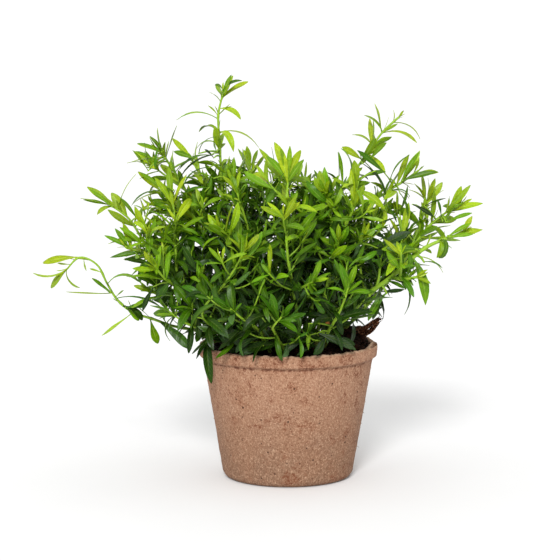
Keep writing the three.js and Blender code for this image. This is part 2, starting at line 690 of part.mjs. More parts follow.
// Grows one leaf on a path at s, turned to an angle round it, or none if no way is clear.
function growLeaf(path, s, turn, leaf, draw, owner) {
  const here = onPath(path, s);
  const wander = rad(WANDER * (draw() - 0.5));
  const lift = LIFT.least + LIFT.more * draw();
  for (let i = 0; i < LEAF_TRIES.count; i++) {
    const sideways = (i % 2 ? LEAF_TRIES.step : -LEAF_TRIES.step) * Math.ceil(i / 2);
    const out = squareTo(here, turn + wander + rad(sideways)).addScaledVector(UP, lift);
    out.addScaledVector(here.along, -out.dot(here.along)).normalize();
    const grown = {
      ...leaf,
      root: here.place,
      along: here.along,
      out,
      angle: leaf.angle * (1 - LEAF_TRIES.angle * i),
      bend: leaf.bend * (1 - LEAF_TRIES.bend * i),
      length: leaf.length * (1 - LEAF_TRIES.length * i),
    };
    const balls = leafBalls(grown);
    if (!isClear(balls, owner, 2)) continue;
    take(balls, owner, false);
    return [grown];
  }
  return [];
}

// The tuft at a tip: two spreading leaves just below it, and then two upright ones.
function growTuft(path, scale, draw, owner) {
  const start = draw() * Math.PI;
  const leaves = [];
  for (let i = 0; i < 4; i++) {
    const inner = i > 1 ? 1 : 0;
    const kind = TUFT[inner];
    const length = scale * TIP_LEAF * kind.share * (TUFT_LENGTH.least + TUFT_LENGTH.more * draw());
    const turn = start + i * Math.PI + inner * (Math.PI / 2);
    leaves.push(...growLeaf(path, path.length - kind.below, turn, {
      angle: rad(kind.angle + kind.more * draw()),
      bend: rad(kind.bend * draw()),
      roll: rad(TUFT_TURN * (draw() - 0.5)),
      length,
      width: length * LEAF_RATIO * TUFT_WIDTH,
    }, draw, owner));
  }
  return leaves;
}

// Opposite pairs along a path, the lower ones longer and standing out more.
function growPairs(path, first, spacing, scale, draw, owner) {
  const leaves = [];
  const start = draw() * Math.PI;
  const pairs = Math.max(1, Math.floor((path.length - first) / spacing));
  for (let i = 0; i < 2 * pairs; i++) {
    const pair = Math.floor(i / 2);
    const f = pair / pairs;
    const full = LOWER_LEAF + (UPPER_LEAF - LOWER_LEAF) * f;
    const length = scale * full * (PAIR.least + PAIR.more * draw());
    leaves.push(...growLeaf(path, first + spacing * pair, start + (pair * Math.PI) / 2 + i * Math.PI, {
      angle: rad(PAIR.angle - PAIR.less * f + PAIR.vary * (draw() - 0.5)),
      bend: rad(PAIR.over * draw() ** 1.4 - PAIR.back),
      roll: rad(PAIR.turn * (draw() - 0.5)),
      length,
      width: length * LEAF_RATIO * (0.86 + 0.3 * draw()),
    }, draw, owner));
  }
  return leaves;
}

function stemPath(foot, points, spacing) {
  const [x, y] = foot;
  const level = soilHeight(x, y);
  const bottom = new THREE.Vector3(x, y, level - FOOT_DEPTH);
  return layPath([new THREE.Vector3(x, y, level + ABOVE_SOIL), ...points.map(vector)], spacing, bottom);
}

// A dome stem rises nearly upright from its foot, then leans out to its tip. Its route between
// them is given in shares of the way outwards and of the way up.
function domePath(turn, lean, size) {
  const across = new THREE.Vector3(Math.cos(turn), Math.sin(turn), 0).multiplyScalar(Math.sin(lean));
  const foot = across.clone().multiplyScalar(DOME.foot);
  foot.z = soilHeight(foot.x, foot.y);
  const tip = new THREE.Vector3(DOME.x * across.x, DOME.y * across.y, DOME.z * Math.cos(lean))
    .multiplyScalar(size);
  tip.z += DOME.base;
  const points = DOME_ROUTE.map(([outward, upward]) => [
    foot.x + (tip.x - foot.x) * outward,
    foot.y + (tip.y - foot.y) * outward,
    foot.z + (tip.z - foot.z) * upward,
  ]);
  return stemPath([foot.x, foot.y], [...points, tip.toArray()], RING_SPACING.dome);
}

// Turns a dome stem a little each way until it stands clear of the stems before it.
function growDomeStem({ name, turn, lean, reach = 1 }, owner) {
  const draw = drawFrom(SEEDS.dome + owner);
  const size = reach * (DOME.least + DOME.more * draw());
  for (let i = 0; i < DOME_TRIES.count; i++) {
    const sideways = (i % 2 ? DOME_TRIES.turn : -DOME_TRIES.turn) * Math.ceil(i / 2);
    const path = domePath(rad(turn + sideways), rad(lean - DOME_TRIES.lean * i), size);
    const balls = stemBalls(path, FOOT_RADIUS, TIP_RADIUS);
    if (isClear(balls, owner, DOME_TRIES.ownSoil)) return { name, path, leaves: [], shoots: [] };
  }
  throw new Error(`${name} finds no room`);
}

// A side shoot by rule: it leaves sideways and curves up, in the first clear direction.
function growShoot(path, at, owner, draw) {
  const here = onPath(path, atShare(path, at));
  const length = SHOOT.length * (0.8 + 0.4 * draw());
  const start = 2 * Math.PI * draw();
  for (let i = 0; i < SHOOT.tries; i++) {
    const way = squareTo(here, start + SHOOT.step * i)
      .addScaledVector(UP, SHOOT.up).addScaledVector(here.along, SHOOT.along).normalize();
    const middle = here.place.clone().addScaledVector(way, SHOOT_BEND.middle * length);
    const end = here.place.clone().addScaledVector(way, SHOOT_BEND.end * length)
      .addScaledVector(UP, SHOOT_BEND.rise * length);
    const shoot = layPath([here.place, middle, end], RING_SPACING.shoot);
    if (isClear(stemBalls(shoot, SHOOT_RADIUS, TIP_RADIUS), owner, 2)) return [{ path: shoot, leaves: [] }];
  }
  return [];
}

const stems = STEMS.map((stem) => {
  const path = stemPath(stem.foot, stem.points, RING_SPACING.placed);
  const shoots = stem.shoots.map((shoot) => {
    const root = onPath(path, atShare(path, shoot.at)).place;
    const points = [root, ...shoot.points.map(vector)];
    return { path: layPath(points, RING_SPACING.shoot), leaves: shoot.leaves };
  });
  return { name: stem.name, path, leaves: stem.leaves, shoots, bare: stem.bare };
});

function takeStem(path, radius, owner) {
  take(stemBalls(path, radius, TIP_RADIUS), owner, true);
}

stems.forEach(({ path, shoots }, owner) => {
  takeStem(path, FOOT_RADIUS, owner);
  for (const shoot of shoots) takeStem(shoot.path, SHOOT_RADIUS, owner);
});
for (const plan of DOME_STEMS) {
  const owner = stems.length;
  stems.push(growDomeStem(plan, owner));
  takeStem(stems[owner].path, FOOT_RADIUS, owner);
}
stems.forEach((stem, owner) => {
  if (stem.bare || stem.shoots.length || stem.path.length < SHOOT.least) return;
  const draw = drawFrom(SEEDS.shoot + owner);
  const [shoot] = growShoot(stem.path, SHOOT.at + 0.2 * draw(), owner, draw);
  if (!shoot) return;
  takeStem(shoot.path, SHOOT_RADIUS, owner);
  stem.shoots.push(shoot);
});

// A branch is a stem or a side shoot, with the leaves on it. Leaves placed by hand take their
// room first, then the tufts, then the pairs.
const branches = stems.flatMap((stem, owner) => [
  { ...stem, owner, scale: 1, first: atShare(stem.path, BARE_SHARE), spacing: PAIR_SPACING },
  ...stem.shoots.map((shoot) => ({
    ...shoot, owner, scale: SHOOT_SCALE, first: BARE_SHOOT, spacing: SHOOT_PAIR_SPACING,
  })),
]);
for (const branch of branches) {
  branch.grown = branch.leaves.map((leaf) => placedLeaf(branch.path, leaf));
  for (const leaf of branch.grown) take(leafBalls(leaf), branch.owner, false);
}
for (const [i, branch] of branches.entries()) {
  if (branch.leaves.some((leaf) => leaf.at > 0.85)) continue;
  branch.grown.push(...growTuft(branch.path, branch.scale, drawFrom(SEEDS.tuft + i), branch.owner));
}
for (const [i, { path, first, spacing, scale, owner, bare, grown }] of branches.entries()) {
  if (bare) continue;
  grown.push(...growPairs(path, first, spacing, scale, drawFrom(SEEDS.pair + i), owner));
}

// A stem's solid joins its tube, its side shoots and all their leaves.
function stemSolid(stem, owner) {
  const parts = [tubeSolid(stem.path, FOOT_RADIUS, TIP_RADIUS, STEM_SIDES)];
  for (const shoot of stem.shoots) {
    parts.push(tubeSolid(shoot.path, SHOOT_RADIUS, TIP_RADIUS, SHOOT_SIDES));
  }
  for (const branch of branches.filter((b) => b.owner === owner)) {
    parts.push(...branch.grown.map(leafSolid));
  }
  return wasm.Manifold.union(parts);
}

// A plain square hole round a straight foot, open at the top of the soil.
function holeSolid(foot, halfWidth) {
  const width = 2 * (halfWidth + GAP);
  const height = FOOT_DEPTH + ABOVE_SOIL + CLUMP.height;
  const box = new THREE.BoxGeometry(width, width, height);
  return solidOf(box.translate(foot.x, foot.y, foot.z - GAP + height / 2));
}

const group = new THREE.Group();
group.name = "potted_herb";

function addPiece(name, geometry, color, roughness) {
  const mesh = new THREE.Mesh(geometry, new THREE.MeshStandardMaterial({ color, roughness, metalness: 0 }));
  mesh.name = name;
  group.add(mesh);
}

const rootStub = stemPath(ROOT_STUB[0], ROOT_STUB.slice(1), RING_SPACING.placed);
const stubSolid = tubeSolid(rootStub, ROOT_STUB_RADIUS, ROOT_STUB_TIP, ROOT_STUB_SIDES);
const holes = stems.map(({ path }) => holeSolid(path.place[0], FOOT_RADIUS * Math.SQRT1_2));
holes.push(holeSolid(rootStub.place[0], ROOT_STUB_RADIUS));

addPiece("pot", potGeometry(), 0xb98f72, 0.95);
addPiece("soil", geometryOf(soilSolid(holes)), 0x2a1c14, 1);
addPiece("root_stub", geometryOf(stubSolid), 0x5a3826, 0.9);
stems.forEach((stem, owner) => {
  addPiece(stem.name, geometryOf(stemSolid(stem, owner)), 0x4f8a22, 0.6);
});

export default group;
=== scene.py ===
"""A narrow-leaved kitchen herb in a round pot of pressed fibre, in fine detail.

The plant is worked out in millimetres, in the same way as the solids that it replaces: every
stem, side shoot and leaf stands where its solid stands. More leaves of the same kinds then fill
the clump. Meshes are written in metres.
"""

import math
from functools import partial

import bpy
import numpy as np
from bpy.props import FloatProperty, FloatVectorProperty, IntProperty, PointerProperty
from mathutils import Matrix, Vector


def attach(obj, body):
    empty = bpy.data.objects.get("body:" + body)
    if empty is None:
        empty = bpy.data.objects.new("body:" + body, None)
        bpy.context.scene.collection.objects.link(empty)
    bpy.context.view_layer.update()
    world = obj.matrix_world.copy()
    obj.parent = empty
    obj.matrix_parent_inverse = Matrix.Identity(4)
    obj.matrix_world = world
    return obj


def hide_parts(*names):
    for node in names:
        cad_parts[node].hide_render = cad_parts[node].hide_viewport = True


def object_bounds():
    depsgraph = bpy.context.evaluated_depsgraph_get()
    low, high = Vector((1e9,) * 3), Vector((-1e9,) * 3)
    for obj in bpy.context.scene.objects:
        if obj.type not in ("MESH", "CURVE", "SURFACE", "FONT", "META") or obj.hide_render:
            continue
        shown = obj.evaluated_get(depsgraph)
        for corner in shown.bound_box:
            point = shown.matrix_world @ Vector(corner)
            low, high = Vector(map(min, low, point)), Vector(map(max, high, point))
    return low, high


bl_info = {
    "name": "Potted Herb",
    "version": (1, 0, 0),
    "blender": (4, 5, 0),
    "location": "View3D > Sidebar > Herb",
    "description": "Makes a narrow-leaved herb with its soil, its fibre pot and a plain stage",
    "category": "Add Mesh",
}

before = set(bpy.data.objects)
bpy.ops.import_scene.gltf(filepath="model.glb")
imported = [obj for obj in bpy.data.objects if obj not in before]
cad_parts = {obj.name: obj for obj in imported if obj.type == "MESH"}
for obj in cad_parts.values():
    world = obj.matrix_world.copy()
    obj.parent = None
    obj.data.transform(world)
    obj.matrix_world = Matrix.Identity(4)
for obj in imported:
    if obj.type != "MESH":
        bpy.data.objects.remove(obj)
CAD_BOX = [list(corner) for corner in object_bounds()]
MM = 0.001
UP = np.array([0.0, 0.0, 1.0])

# Pot and soil, in millimetres.
POT_HEIGHT = 90
POT_BASE_RADIUS = 43
POT_BASE_ROUNDING = 5
LIP_RADIUS = 60
LIP_HEIGHT = 9
LIP_STEP = 3.4
LIP_EDGE = 1.3
WALL = 3
FLOOR = 3.5
GAP = 0.3
SOIL_EDGE_HEIGHT = 85
SOIL_MOUND = 4.5
SOIL_LUMP = {"height": 1.1, "x": 4.7, "y": 5.3}
CLUMP = {"x": 43, "y": 3, "height": 9, "spread": 8}

# Stems, in millimetres.
FOOT_DEPTH = 12
FOOT_RADIUS = 1.5
TIP_RADIUS = 0.85
SHOOT_RADIUS = 1
RING_SPACING = {"placed": 14, "dome": 26, "shoot": 19, "twig": 7}
ABOVE_SOIL = 1.2
BALL_SPACING = 2
GROUND_SPARE = 2
SOIL_SPARE = 1

# Leaves, in millimetres, degrees and shares of a length. Two values in brackets are the least and
# how much more may be drawn, here and wherever nothing else is said.
BARE_SHARE = 0.24
BARE_SHOOT = 10
PAIR_SPACING = 23
SHOOT_PAIR_SPACING = 19
SHOOT_SCALE = 0.85
LOWER_LEAF = 27
UPPER_LEAF = 20
TIP_LEAF = 18
LEAF_RATIO = 0.22
NECK_HALF_WIDTH = 0.8
LEAST_HALF_WIDTH = 0.7
LEAST_BEND = 0.001
LANCE = {"widest": 1.3, "blunt": 0.85}
PAIR = {
    "angle": 58, "less": 20, "vary": 16, "over": 78, "power": 1.4, "back": 8, "turn": 70,
    "length": (0.86, 0.28), "width": (0.86, 0.3),
}
TUFT = [
    {"below": 6, "share": 1.1, "angle": (34, 10), "bend": 40},
    {"below": 1, "share": 0.85, "angle": (15, 6), "bend": 14},
]
TUFT_LENGTH = (0.88, 0.24)
TUFT_TURN = 50
TUFT_WIDTH = 1.15
LEAF_TRIES = {"count": 14, "step": 14, "angle": 0.03, "bend": 0.07, "length": 0.022}
WANDER = 24
LIFT = (0.3, 0.25)
ARCH_OUTWARD = 0.4
LEAF_SAMPLES = 9
ROOT_BALLS = 2
OWN_SHARE = 0.45
NEAR_TIP = 0.85
SHOOT = {"least": 112, "length": 38, "vary": (0.8, 0.4), "at": (0.42, 0.2), "tries": 16, "step": 2.4}
SHOOT_BEND = {"up": 0.3, "along": 0.55, "middle": 0.5, "end": 0.95, "rise": 0.18}
SEEDS = {
    "tuft": 100, "pair": 300, "dome": 500, "shoot": 900, "between": 1300, "axil": 1500, "bud": 1700,
    "twig": 2100, "looks": 1999, "fibre": 7, "crumbs": 8, "splinters": 9,
}

# The leaves that only the fine plant has: each kind's length and angle, how far it bends, and
# whether it grows in a bunch with its neighbours.
BETWEEN = {"length": (17, 11), "angle": (30, 32), "bend": 165, "joins": False}
LOW = {"length": (19, 9), "angle": (48, 34), "bend": 60, "joins": False}
AXIL = {"length": (6, 7), "angle": (18, 34), "bend": 45, "joins": True}
BUD_OUTER = {"length": (9, 7), "angle": (24, 34), "bend": 70, "joins": True}
BUD = {"length": (5, 4), "angle": (4, 26), "bend": 30, "joins": True}
BUD_BESIDE = {"length": (8, 7), "angle": (12, 34), "bend": 50, "joins": True}
TWIG_PAIR = {"length": (14, 12), "angle": (30, 34), "bend": 165, "joins": False}
LITTLE = {"power": 1.2, "back": 0.15, "width": (0.72, 0.32)}

# The twigs that only the fine plant has, and the outline that they keep to.
TWIG = {
    "from": 0.16, "from_on_shoot": 0.2, "to": 6, "spacing": 12, "stagger": 4, "length": (18, 16),
    "longer": 1.1, "less": 0.5, "tries": 8, "room": 0.5, "first": 5.0, "pairs": 7.5,
}
TWIG_BEND = {"up": 0.15, "along": 0.5, "middle": 0.5, "end": 0.95, "rise": 0.2}
TWIG_CENTRE = np.array([-2.0, 0.0, 150.0])
TWIG_REACH = np.array([98.0, 92.0, 74.0])
TWIG_TOP = {"height": 210, "slope": 0.32, "x": -14}
TWIG_SKIRT = {"height": 92, "slope": 1.2, "from": 58}
RIGHT_SKIRT = {"height": 102, "slope": 0.95, "from": 38}

# Where the little leaves stand: pairs, bunches where leaves meet their stem, and buds at the tips.
PAIR_ENDS = {"twig": 1, "between": 4, "low": 4}
LOW_SHARE = 0.1
LOW_SPACING = 10
BUNCH = {"count": 4, "end": 5, "wander": 0.9, "stagger": 1.5}
BUDS = {"count": 8, "outer": 4.5, "inner": 0.8, "stagger": 1.5, "turn": 2.4}
SLIMNESS = 0.5
LITTLE_LENGTH = 14

# How old a leaf looks, from 0 to 1, and how its form varies from its neighbours'. The age also
# carries painted shade and light by a leaf's place: darker deep inside the clump and low in its
# middle, lighter high up and out to the sides. Each range has the value where it starts and the one
# where it is full.
CLUMP_CENTRE = np.array([-3.0, 0.0, 145.0])
CLUMP_REACH = np.array([102.0, 88.0, 78.0])
AGE_AT = 0.6
AGE_AND_SHADE_RANGES = {"inside": (0.95, 0.5), "high": (130, 200), "low": (165, 112), "beside": (58, 100)}
AGE = {
    "foot": 0.63, "along": 0.5, "inside": 0.64, "less_high": 0.4, "high": 0.12, "low": 0.5,
    "beside": 0.08, "vary": 0.26, "shoot": 0.06, "little": 0.88,
}
FORM = {"widest": (1.15, 0.35), "blunt": (0.63, 0.28), "sway": 0.1, "twist": 1.2, "fold": (8, 19)}
BLUNTER = {"stem_trailing_left": 0.6}
BLUNTER_POWER = 0.3
YOUNGER = {"stem_trailing_left": 0.12}
BY_HAND = {"fold": 0.5, "twist": 0.3, "plain": 0.8}
CHANCE_TURNS = 7.31

# Leaves that show by themselves and that the solids leave out: the x, y and z that each starts from
# and those of its tip, its width, how many degrees it arches, how many it turns its face to the
# front, and its age. A leaf of age 1 is dry.
EXTRA_LEAVES = [
    (-92, -24, 147, -108, -26, 149, 3, 10, 20, 0.35), (-88, -34, 132, -95, -36, 116, 4.2, 10, 40, 0.99),
    (-73, -32, 138, -86, -34, 123, 6.0, 10, 50, 0.75), (-76, -30, 133, -82, -32, 120, 5.0, 10, 40, 0.8),
    (-72, -38, 116, -56, -40, 122, 4.2, 10, 40, 0.5), (-59, -42, 113, -57, -44, 99, 3.6, 10, 40, 0.8),
    (64, -36, 128, 52, -38, 110, 4.7, 60, 25, 0.45), (53, -36, 125, 60, -38, 125, 2.4, 10, 20, 0.5),
    (50, -36, 119, 53, -38, 113, 2.4, 10, 20, 0.5), (60, -30, 133, 70, -32, 148, 6.0, 10, 45, 0.9),
    (94, -42, 161, 106, -44, 158, 2.2, 40, 10, 0.3), (-40, -50, 112, -31, -52, 95, 5.2, 15, 50, 0.99),
    (-16, -53, 95, -32, -55, 91, 4.4, 20, 60, 0.99), (11, -52, 102, -3, -54, 92, 4.8, 15, 55, 0.99),
    (13, -56, 111, 13, -58, 94, 3.0, 10, 30, 0.3), (19, -50, 104, 44, -52, 93, 5.0, 15, 50, 0.99),
    (30, -50, 114, 35, -52, 103, 4.0, 15, 40, 0.99), (32, -46, 115, 24, -48, 109, 4.0, 30, 40, 1.0),
    (-28, 0, 204, -30, -2, 220, 4.6, 10, 40, 0.25), (-24, 0, 205, -20, -2, 219, 4.4, 10, 40, 0.2),
    (-35, 4, 199, -37, 2, 213, 4.2, 10, 40, 0.3), (-8, 0, 205, -11, -2, 221, 4.4, 10, 40, 0.25),
    (23, 0, 192, 17, -2, 206, 4.0, 10, 40, 0.4), (34, 0, 202, 33, -2, 218, 2.6, 10, 20, 0.4),
    (-1, -54, 200, -14, -58, 219, 4.2, 25, 40, 0.3), (-1, -54, 200, 10, -58, 217, 4.0, 20, 40, 0.25),
    (-1, -54, 206, -5, -60, 224, 4.0, 10, 35, 0.2), (-1, -54, 206, 1, -60, 226, 3.4, 10, 25, 0.15),
    (-51, -10, 216, -72, -12, 206, 3.4, 70, 20, 0.6), (-52, -10, 208, -69, -12, 195, 2.4, 80, 15, 0.6),
    (-52, -14, 195, -68, -16, 192, 3.0, 40, 30, 0.5), (-47, -8, 218, -49, -10, 226, 3.0, 10, 35, 0.25),
    (-40, -8, 210, -41, -10, 198, 4.4, 20, 45, 0.3), (-49, -12, 201, -60, -14, 205, 2.6, 20, 25, 0.3),
    (-77, -36, 152, -98, -38, 144, 4.6, 25, 40, 0.7), (-98, -22, 142, -97, -24, 133, 2.8, 10, 30, 0.6),
    (-71, -40, 163, -60, -42, 144, 4.6, 15, 45, 0.75), (-45, -46, 130, -64, -48, 125, 3.6, 50, 30, 0.6),
    (-33, -46, 163, -54, -48, 173, 3.6, 15, 40, 0.35), (-33, -46, 163, -48, -48, 177, 4.0, 10, 45, 0.3),
    (-77, -40, 136, -83, -42, 126, 5.0, 15, 45, 0.75), (-92, -14, 206, -102, -16, 220, 3.6, 10, 40, 0.3),
    (-91, -14, 208, -94, -16, 225, 2.6, 10, 25, 0.3), (-86, -10, 218, -91, -12, 228, 3.6, 10, 40, 0.35),
    (-84, -16, 225, -87, -18, 207, 2.8, 25, 25, 0.5), (-79, -12, 211, -81, -14, 223, 3.6, 10, 35, 0.65),
    (-72, -16, 200, -77, -18, 215, 3.6, 10, 40, 0.3), (-74, -12, 205, -60, -14, 215, 2.6, 45, 20, 0.5),
    (67, -14, 201, 80, -16, 217, 2.8, 45, 25, 0.4), (101, -24, 174, 115, -26, 187, 3.0, 30, 25, 0.35),
    (103, -28, 174, 109, -30, 186, 4.6, 10, 45, 0.35), (104, -28, 174, 120, -30, 180, 4.0, 15, 40, 0.3),
    (103, -44, 166, 118, -46, 175, 3.6, 10, 40, 0.3), (104, -46, 166, 119, -48, 168, 3.4, 10, 40, 0.3),
    (96, -42, 162, 97, -44, 152, 3.4, 235, 10, 0.45), (58, -40, 158, 79, -42, 169, 6.0, 10, 50, 0.85),
    (82, -46, 158, 63, -48, 159, 6.4, 15, 50, 0.5), (54, -34, 169, 54, -36, 180, 2.4, 10, 30, 0.85),
    (71, -34, 178, 55, -36, 171, 2.2, 20, 15, 0.85), (73, -20, 180, 78, -22, 197, 4.0, 20, 40, 0.5),
    (57, -24, 207, 64, -26, 188, 2.4, 30, 20, 0.8), (88, -40, 149, 100, -42, 145, 2.4, 60, 15, 0.5),
    (48, -16, 202, 64, -18, 206, 4.0, 20, 40, 0.45), (63, -16, 190, 68, -18, 202, 3.4, 10, 40, 0.5),
    (-43, -10, 255, -37, -12, 269, 4.0, 10, 40, 0.25), (-43, -10, 258, -30, -12, 265, 3.2, 70, 30, 0.6),
    (-43, -10, 259, -48, -12, 262, 3.4, 90, 40, 0.5), (-117, -22, 183, -134, -24, 188, 3.4, 10, 40, 0.3),
    (-115, -24, 183, -129, -26, 195, 3.4, 10, 40, 0.3), (-99, -24, 176, -110, -26, 190, 3.6, 10, 45, 0.35),
    (-96, -24, 173, -95, -26, 183, 3.4, 10, 40, 0.35), (-103, -26, 158, -120, -28, 165, 3.4, 15, 40, 0.3),
    (-103, -28, 159, -113, -30, 170, 4.0, 10, 45, 0.3), (-104, -24, 160, -108, -26, 171, 3.4, 10, 40, 0.3),
    (-93, -30, 154, -116, -32, 151, 3.4, 15, 45, 0.6), (-89, -30, 146, -107, -32, 150, 4.2, 20, 45, 0.8),
    (-117, -22, 126, -128, -24, 136, 3.4, 10, 40, 0.35), (-110, -18, 119, -108, -20, 128, 2.4, 10, 30, 0.3),
    (-110, -18, 117, -84, -20, 117, 2.8, 55, 20, 0.5), (-109, -20, 117, -96, -22, 108, 4.8, 80, 40, 0.8),
    (-107, -22, 116, -93, -24, 118, 4.2, 30, 45, 0.6), (-84, -14, 193, -103, -16, 183, 2.4, 70, 20, 0.6),
    (-84, -14, 195, -97, -16, 205, 4.4, 10, 45, 0.3), (-86, -12, 212, -100, -14, 219, 3.4, 10, 40, 0.3),
    (-83, -10, 218, -99, -12, 224, 3.4, 20, 40, 0.35), (-82, -10, 219, -91, -12, 229, 4.0, 10, 40, 0.3),
    (-84, -10, 221, -86, -12, 233, 2.8, 10, 30, 0.3), (-61, -14, 214, -75, -16, 219, 4.6, 10, 50, 0.35),
    (-72, -14, 199, -48, -16, 217, 3.2, 60, 20, 0.85), (-59, -8, 217, -47, -10, 228, 1.8, 90, 10, 0.5),
    (-49, -8, 214, -55, -10, 220, 4.0, 10, 40, 0.85), (63, -16, 205, 45, -18, 220, 4.6, 10, 50, 0.6),
    (54, -16, 214, 64, -18, 225, 4.2, 10, 45, 0.35), (49, -18, 211, 62, -20, 197, 2.6, 30, 20, 0.85),
    (74, -16, 199, 86, -18, 219, 4.6, 10, 45, 0.3), (75, -18, 200, 98, -20, 206, 4.4, 15, 50, 0.45),
    (67, -18, 193, 80, -20, 189, 1.8, 100, 15, 0.6), (73, -22, 192, 78, -24, 177, 2.8, 50, 25, 0.6),
    (89, -22, 184, 103, -24, 189, 2.4, 15, 20, 0.8), (100, -24, 176, 97, -26, 189, 3.2, 20, 35, 0.5),
    (81, -24, 185, 95, -26, 177, 3.4, 15, 45, 0.97), (77, -26, 167, 80, -28, 177, 2.8, 10, 40, 0.6),
    (65, -22, 184, 71, -24, 173, 2.4, 20, 25, 0.7), (65, -30, 162, 54, -32, 168, 3.4, 15, 45, 0.8),
    (104, -26, 181, 105, -28, 191, 2.0, 15, 20, 0.35),
]

# The ends of twigs that stand where the clump would be thin. Each grows from the stem under it.
EXTRA_TWIGS = [
    (-16, -6, 198), (-8, -2, 205), (-24, 4, 203), (6, -4, 203), (-14, -20, 192), (12, -8, 194),
    (-34, -4, 198), (-10, -30, 182), (-20, -26, 170), (4, -30, 176), (-62, -10, 192), (-56, -24, 176),
    (-30, -34, 160), (28, -24, 172), (46, -24, 158), (-58, -34, 132), (60, -34, 150),
]
WALK = {"from": 2, "step": 1.0}
TWIG_DROP = 22
TWIG_BOW = 0.15
EXTRA_REACH = 4
EXTRA_SHARE = 0.98
BOX_SPARE = 2

# A blade's rings and its section: places across it from -1 to 1 and heights as shares of its
# thickness.
FULL_BLADE = 9, [(1, 0), (0.5, 0.35), (0, 0.1), (-0.5, 0.35), (-1, 0), (0, -0.75)]
LITTLE_BLADE = 6, [(1, 0), (0, 0.3), (-1, 0), (0, -0.5)]
BLADE_KEYS = (
    "root", "along", "out", "angle", "bend", "roll", "length", "width", "age", "chance", "widest",
    "blunt", "sway", "twist", "fold", "dry",
)
BLADE = {
    "start": 0.03, "end": 0.965, "sunk": 0.5, "thick": 0.5, "thinner": 0.45, "neck": 0.55,
    "neck_taper": 1.6, "twist_from": 0.3, "fold_from": 0.12, "wave": 0.05, "waves": 9, "wave_shift": 6,
}

# The stub: its two paths, and the strands on them. Each strand has its path, its length and
# thickness as a share and in millimetres, how far beside the path it starts, and how much farther
# it parts from it. Two values for the splinters are the least and the greatest.
STUB_PATHS = [
    [[44, 6], [49, 4, 97], [54, 2, 101], [60, 1, 106]],
    [[48, 5], [52, 3, 93], [56.2, 1.5, 99.6], [61, 0.5, 105.6]],
]
STRANDS = [
    (0, 1.0, 2.1, 0.0, 0.0), (0, 0.8, 1.5, 1.4, 0.3), (0, 0.9, 1.3, 1.6, 0.4),
    (1, 1.0, 2.2, 0.0, 0.0), (1, 0.84, 1.7, 1.3, 0.3), (1, 0.7, 1.5, 1.5, 0.8), (1, 0.93, 0.9, 1.3, 1.2),
]
STRAND = {"turn": 1.9, "rings": 34, "points": 14, "taper": 0.7, "across": 1.6, "along": 0.3}
RIDGES = {"height": 0.6, "size": 1.1, "fine": 0.6, "stretch": (1, 1, 3), "apart": 9, "seed": 31}
SPLINTER = {
    "count": 34, "at": (0.35, 1), "along": (0.6, 1.6), "out": (0.2, 0.8), "length": (1.5, 3.5),
    "girth": (0.25, 0.6), "taper": (1, 0.6, 0.3), "points": 5,
}

# The stems' skin, in millimetres and shares of the radius.
STEM_RADII = {"main": (1.3, 0.62), "shoot": (0.85, 0.55), "twig": (0.6, 0.4)}
GIRTH = {"stem_right_thick": 1.6, "stem_trailing_left": 0.85}
STEM_STEP = 2.5
STEM_POINTS = 8
NODE_REACH = 1.6
NODE_SWELL = 0.3
NODE_END = 4
SQUARENESS = 0.08
STEM_GREEN = 1.8
SHOOT_AGE = 0.4
LEAST_RINGS = 6
STEM_SUNK = 0.3
TIP_ROUNDING = 1.5
LINES_LENGTH = 10

# The pot's and the soil's skins: how many rings and points they have, and noise as sizes and
# heights. Two values for the fibres, or for how crumbs are stretched, are the least and the
# greatest. Those for where the near crumbs lie are the middle and the spread.
POT_POINTS = 360
POT_RINGS = {"base": 8, "rounding": 10, "wall": 84, "lip": 9, "edge": 13, "inside": 8}
OUTER_RINGS = slice(17, 126)
MIDDLE_RING = 0.1
LIP_FOOT = 1
LIP_RISE = 2.6
LIP_BULGE = 0.25
INSIDE_FLARE = 0.075
INSIDE_DEPTH = 6
POT_BUMPS = [(45, 0.35), (9, 0.16), (3, 0.12), (1.5, 0.1)]
BASE_SMOOTH = {"from": 0.2, "over": 3}
LIP_ROUGHER = 0.5
RAGGED = [(9, 0.5), (2.6, 0.45), (1.2, 0.45)]
RAGGED_SEED = 21
RAGGED_EDGE = {"below": 6, "lower": 0.25}
VISIBLE_LIP_RADIUS = 59.3
GROOVE_HEIGHT = (POT_HEIGHT - LIP_HEIGHT - 0.6) * MM
TORN_END = {
    "turn": -9, "spread": 8, "out": 1.1, "in": 0.4, "up": 1.6, "deep": 5.0, "middle": 1.6, "width": 1.0,
}
FIBRE = {
    "up": (0.1, 0.7), "length": (0.9, 2.6), "bend": (-0.35, 0.2), "girth": (0.09, 0.17), "sunk": 0.3,
    "taper": (1, 0.85, 0.6), "points": 3,
}
TUBE_SUNK = 0.2
SOIL_POINTS = 180
SOIL_TOP_RINGS = 70
SOIL_SIDE = {"rings": 10, "from": 0.02, "to": 0.98, "below": 2}
SOIL_BUMPS = [(7, 0.9), (3, 0.9), (1.4, 0.5)]
SOIL_LOWER = 0.6
SOIL_FADE = {"steep": 1.3, "power": 8, "edge": 0.2}
CRUMB = {
    "count": 420, "rings": 4, "points": 6, "reach": 50, "edge": 52.0, "power": 3, "rise": 0.35,
    "stretch": (0.6, 1.3), "lump": 0.35, "lump_size": 0.8, "apart": 9.0, "seed": 5,
}
NEAR_CRUMB = {"x": (0, 6), "y": (-1, 7), "size": (0.9, 3.3)}
FAR_CRUMB_SIZE = (0.55, 1.9)

# Kinds of shader node that are used often.
MATH, MIX, RANGE = "ShaderNodeMath", "ShaderNodeMix", "ShaderNodeMapRange"
NOISE, BUMP, MAPPING = "ShaderNodeTexNoise", "ShaderNodeBump", "ShaderNodeMapping"
COORDINATES, ATTRIBUTE, UV_MAP = "ShaderNodeTexCoord", "ShaderNodeAttribute", "ShaderNodeUVMap"
PRINCIPLED, OUTPUT = "ShaderNodeBsdfPrincipled", "ShaderNodeOutputMaterial"

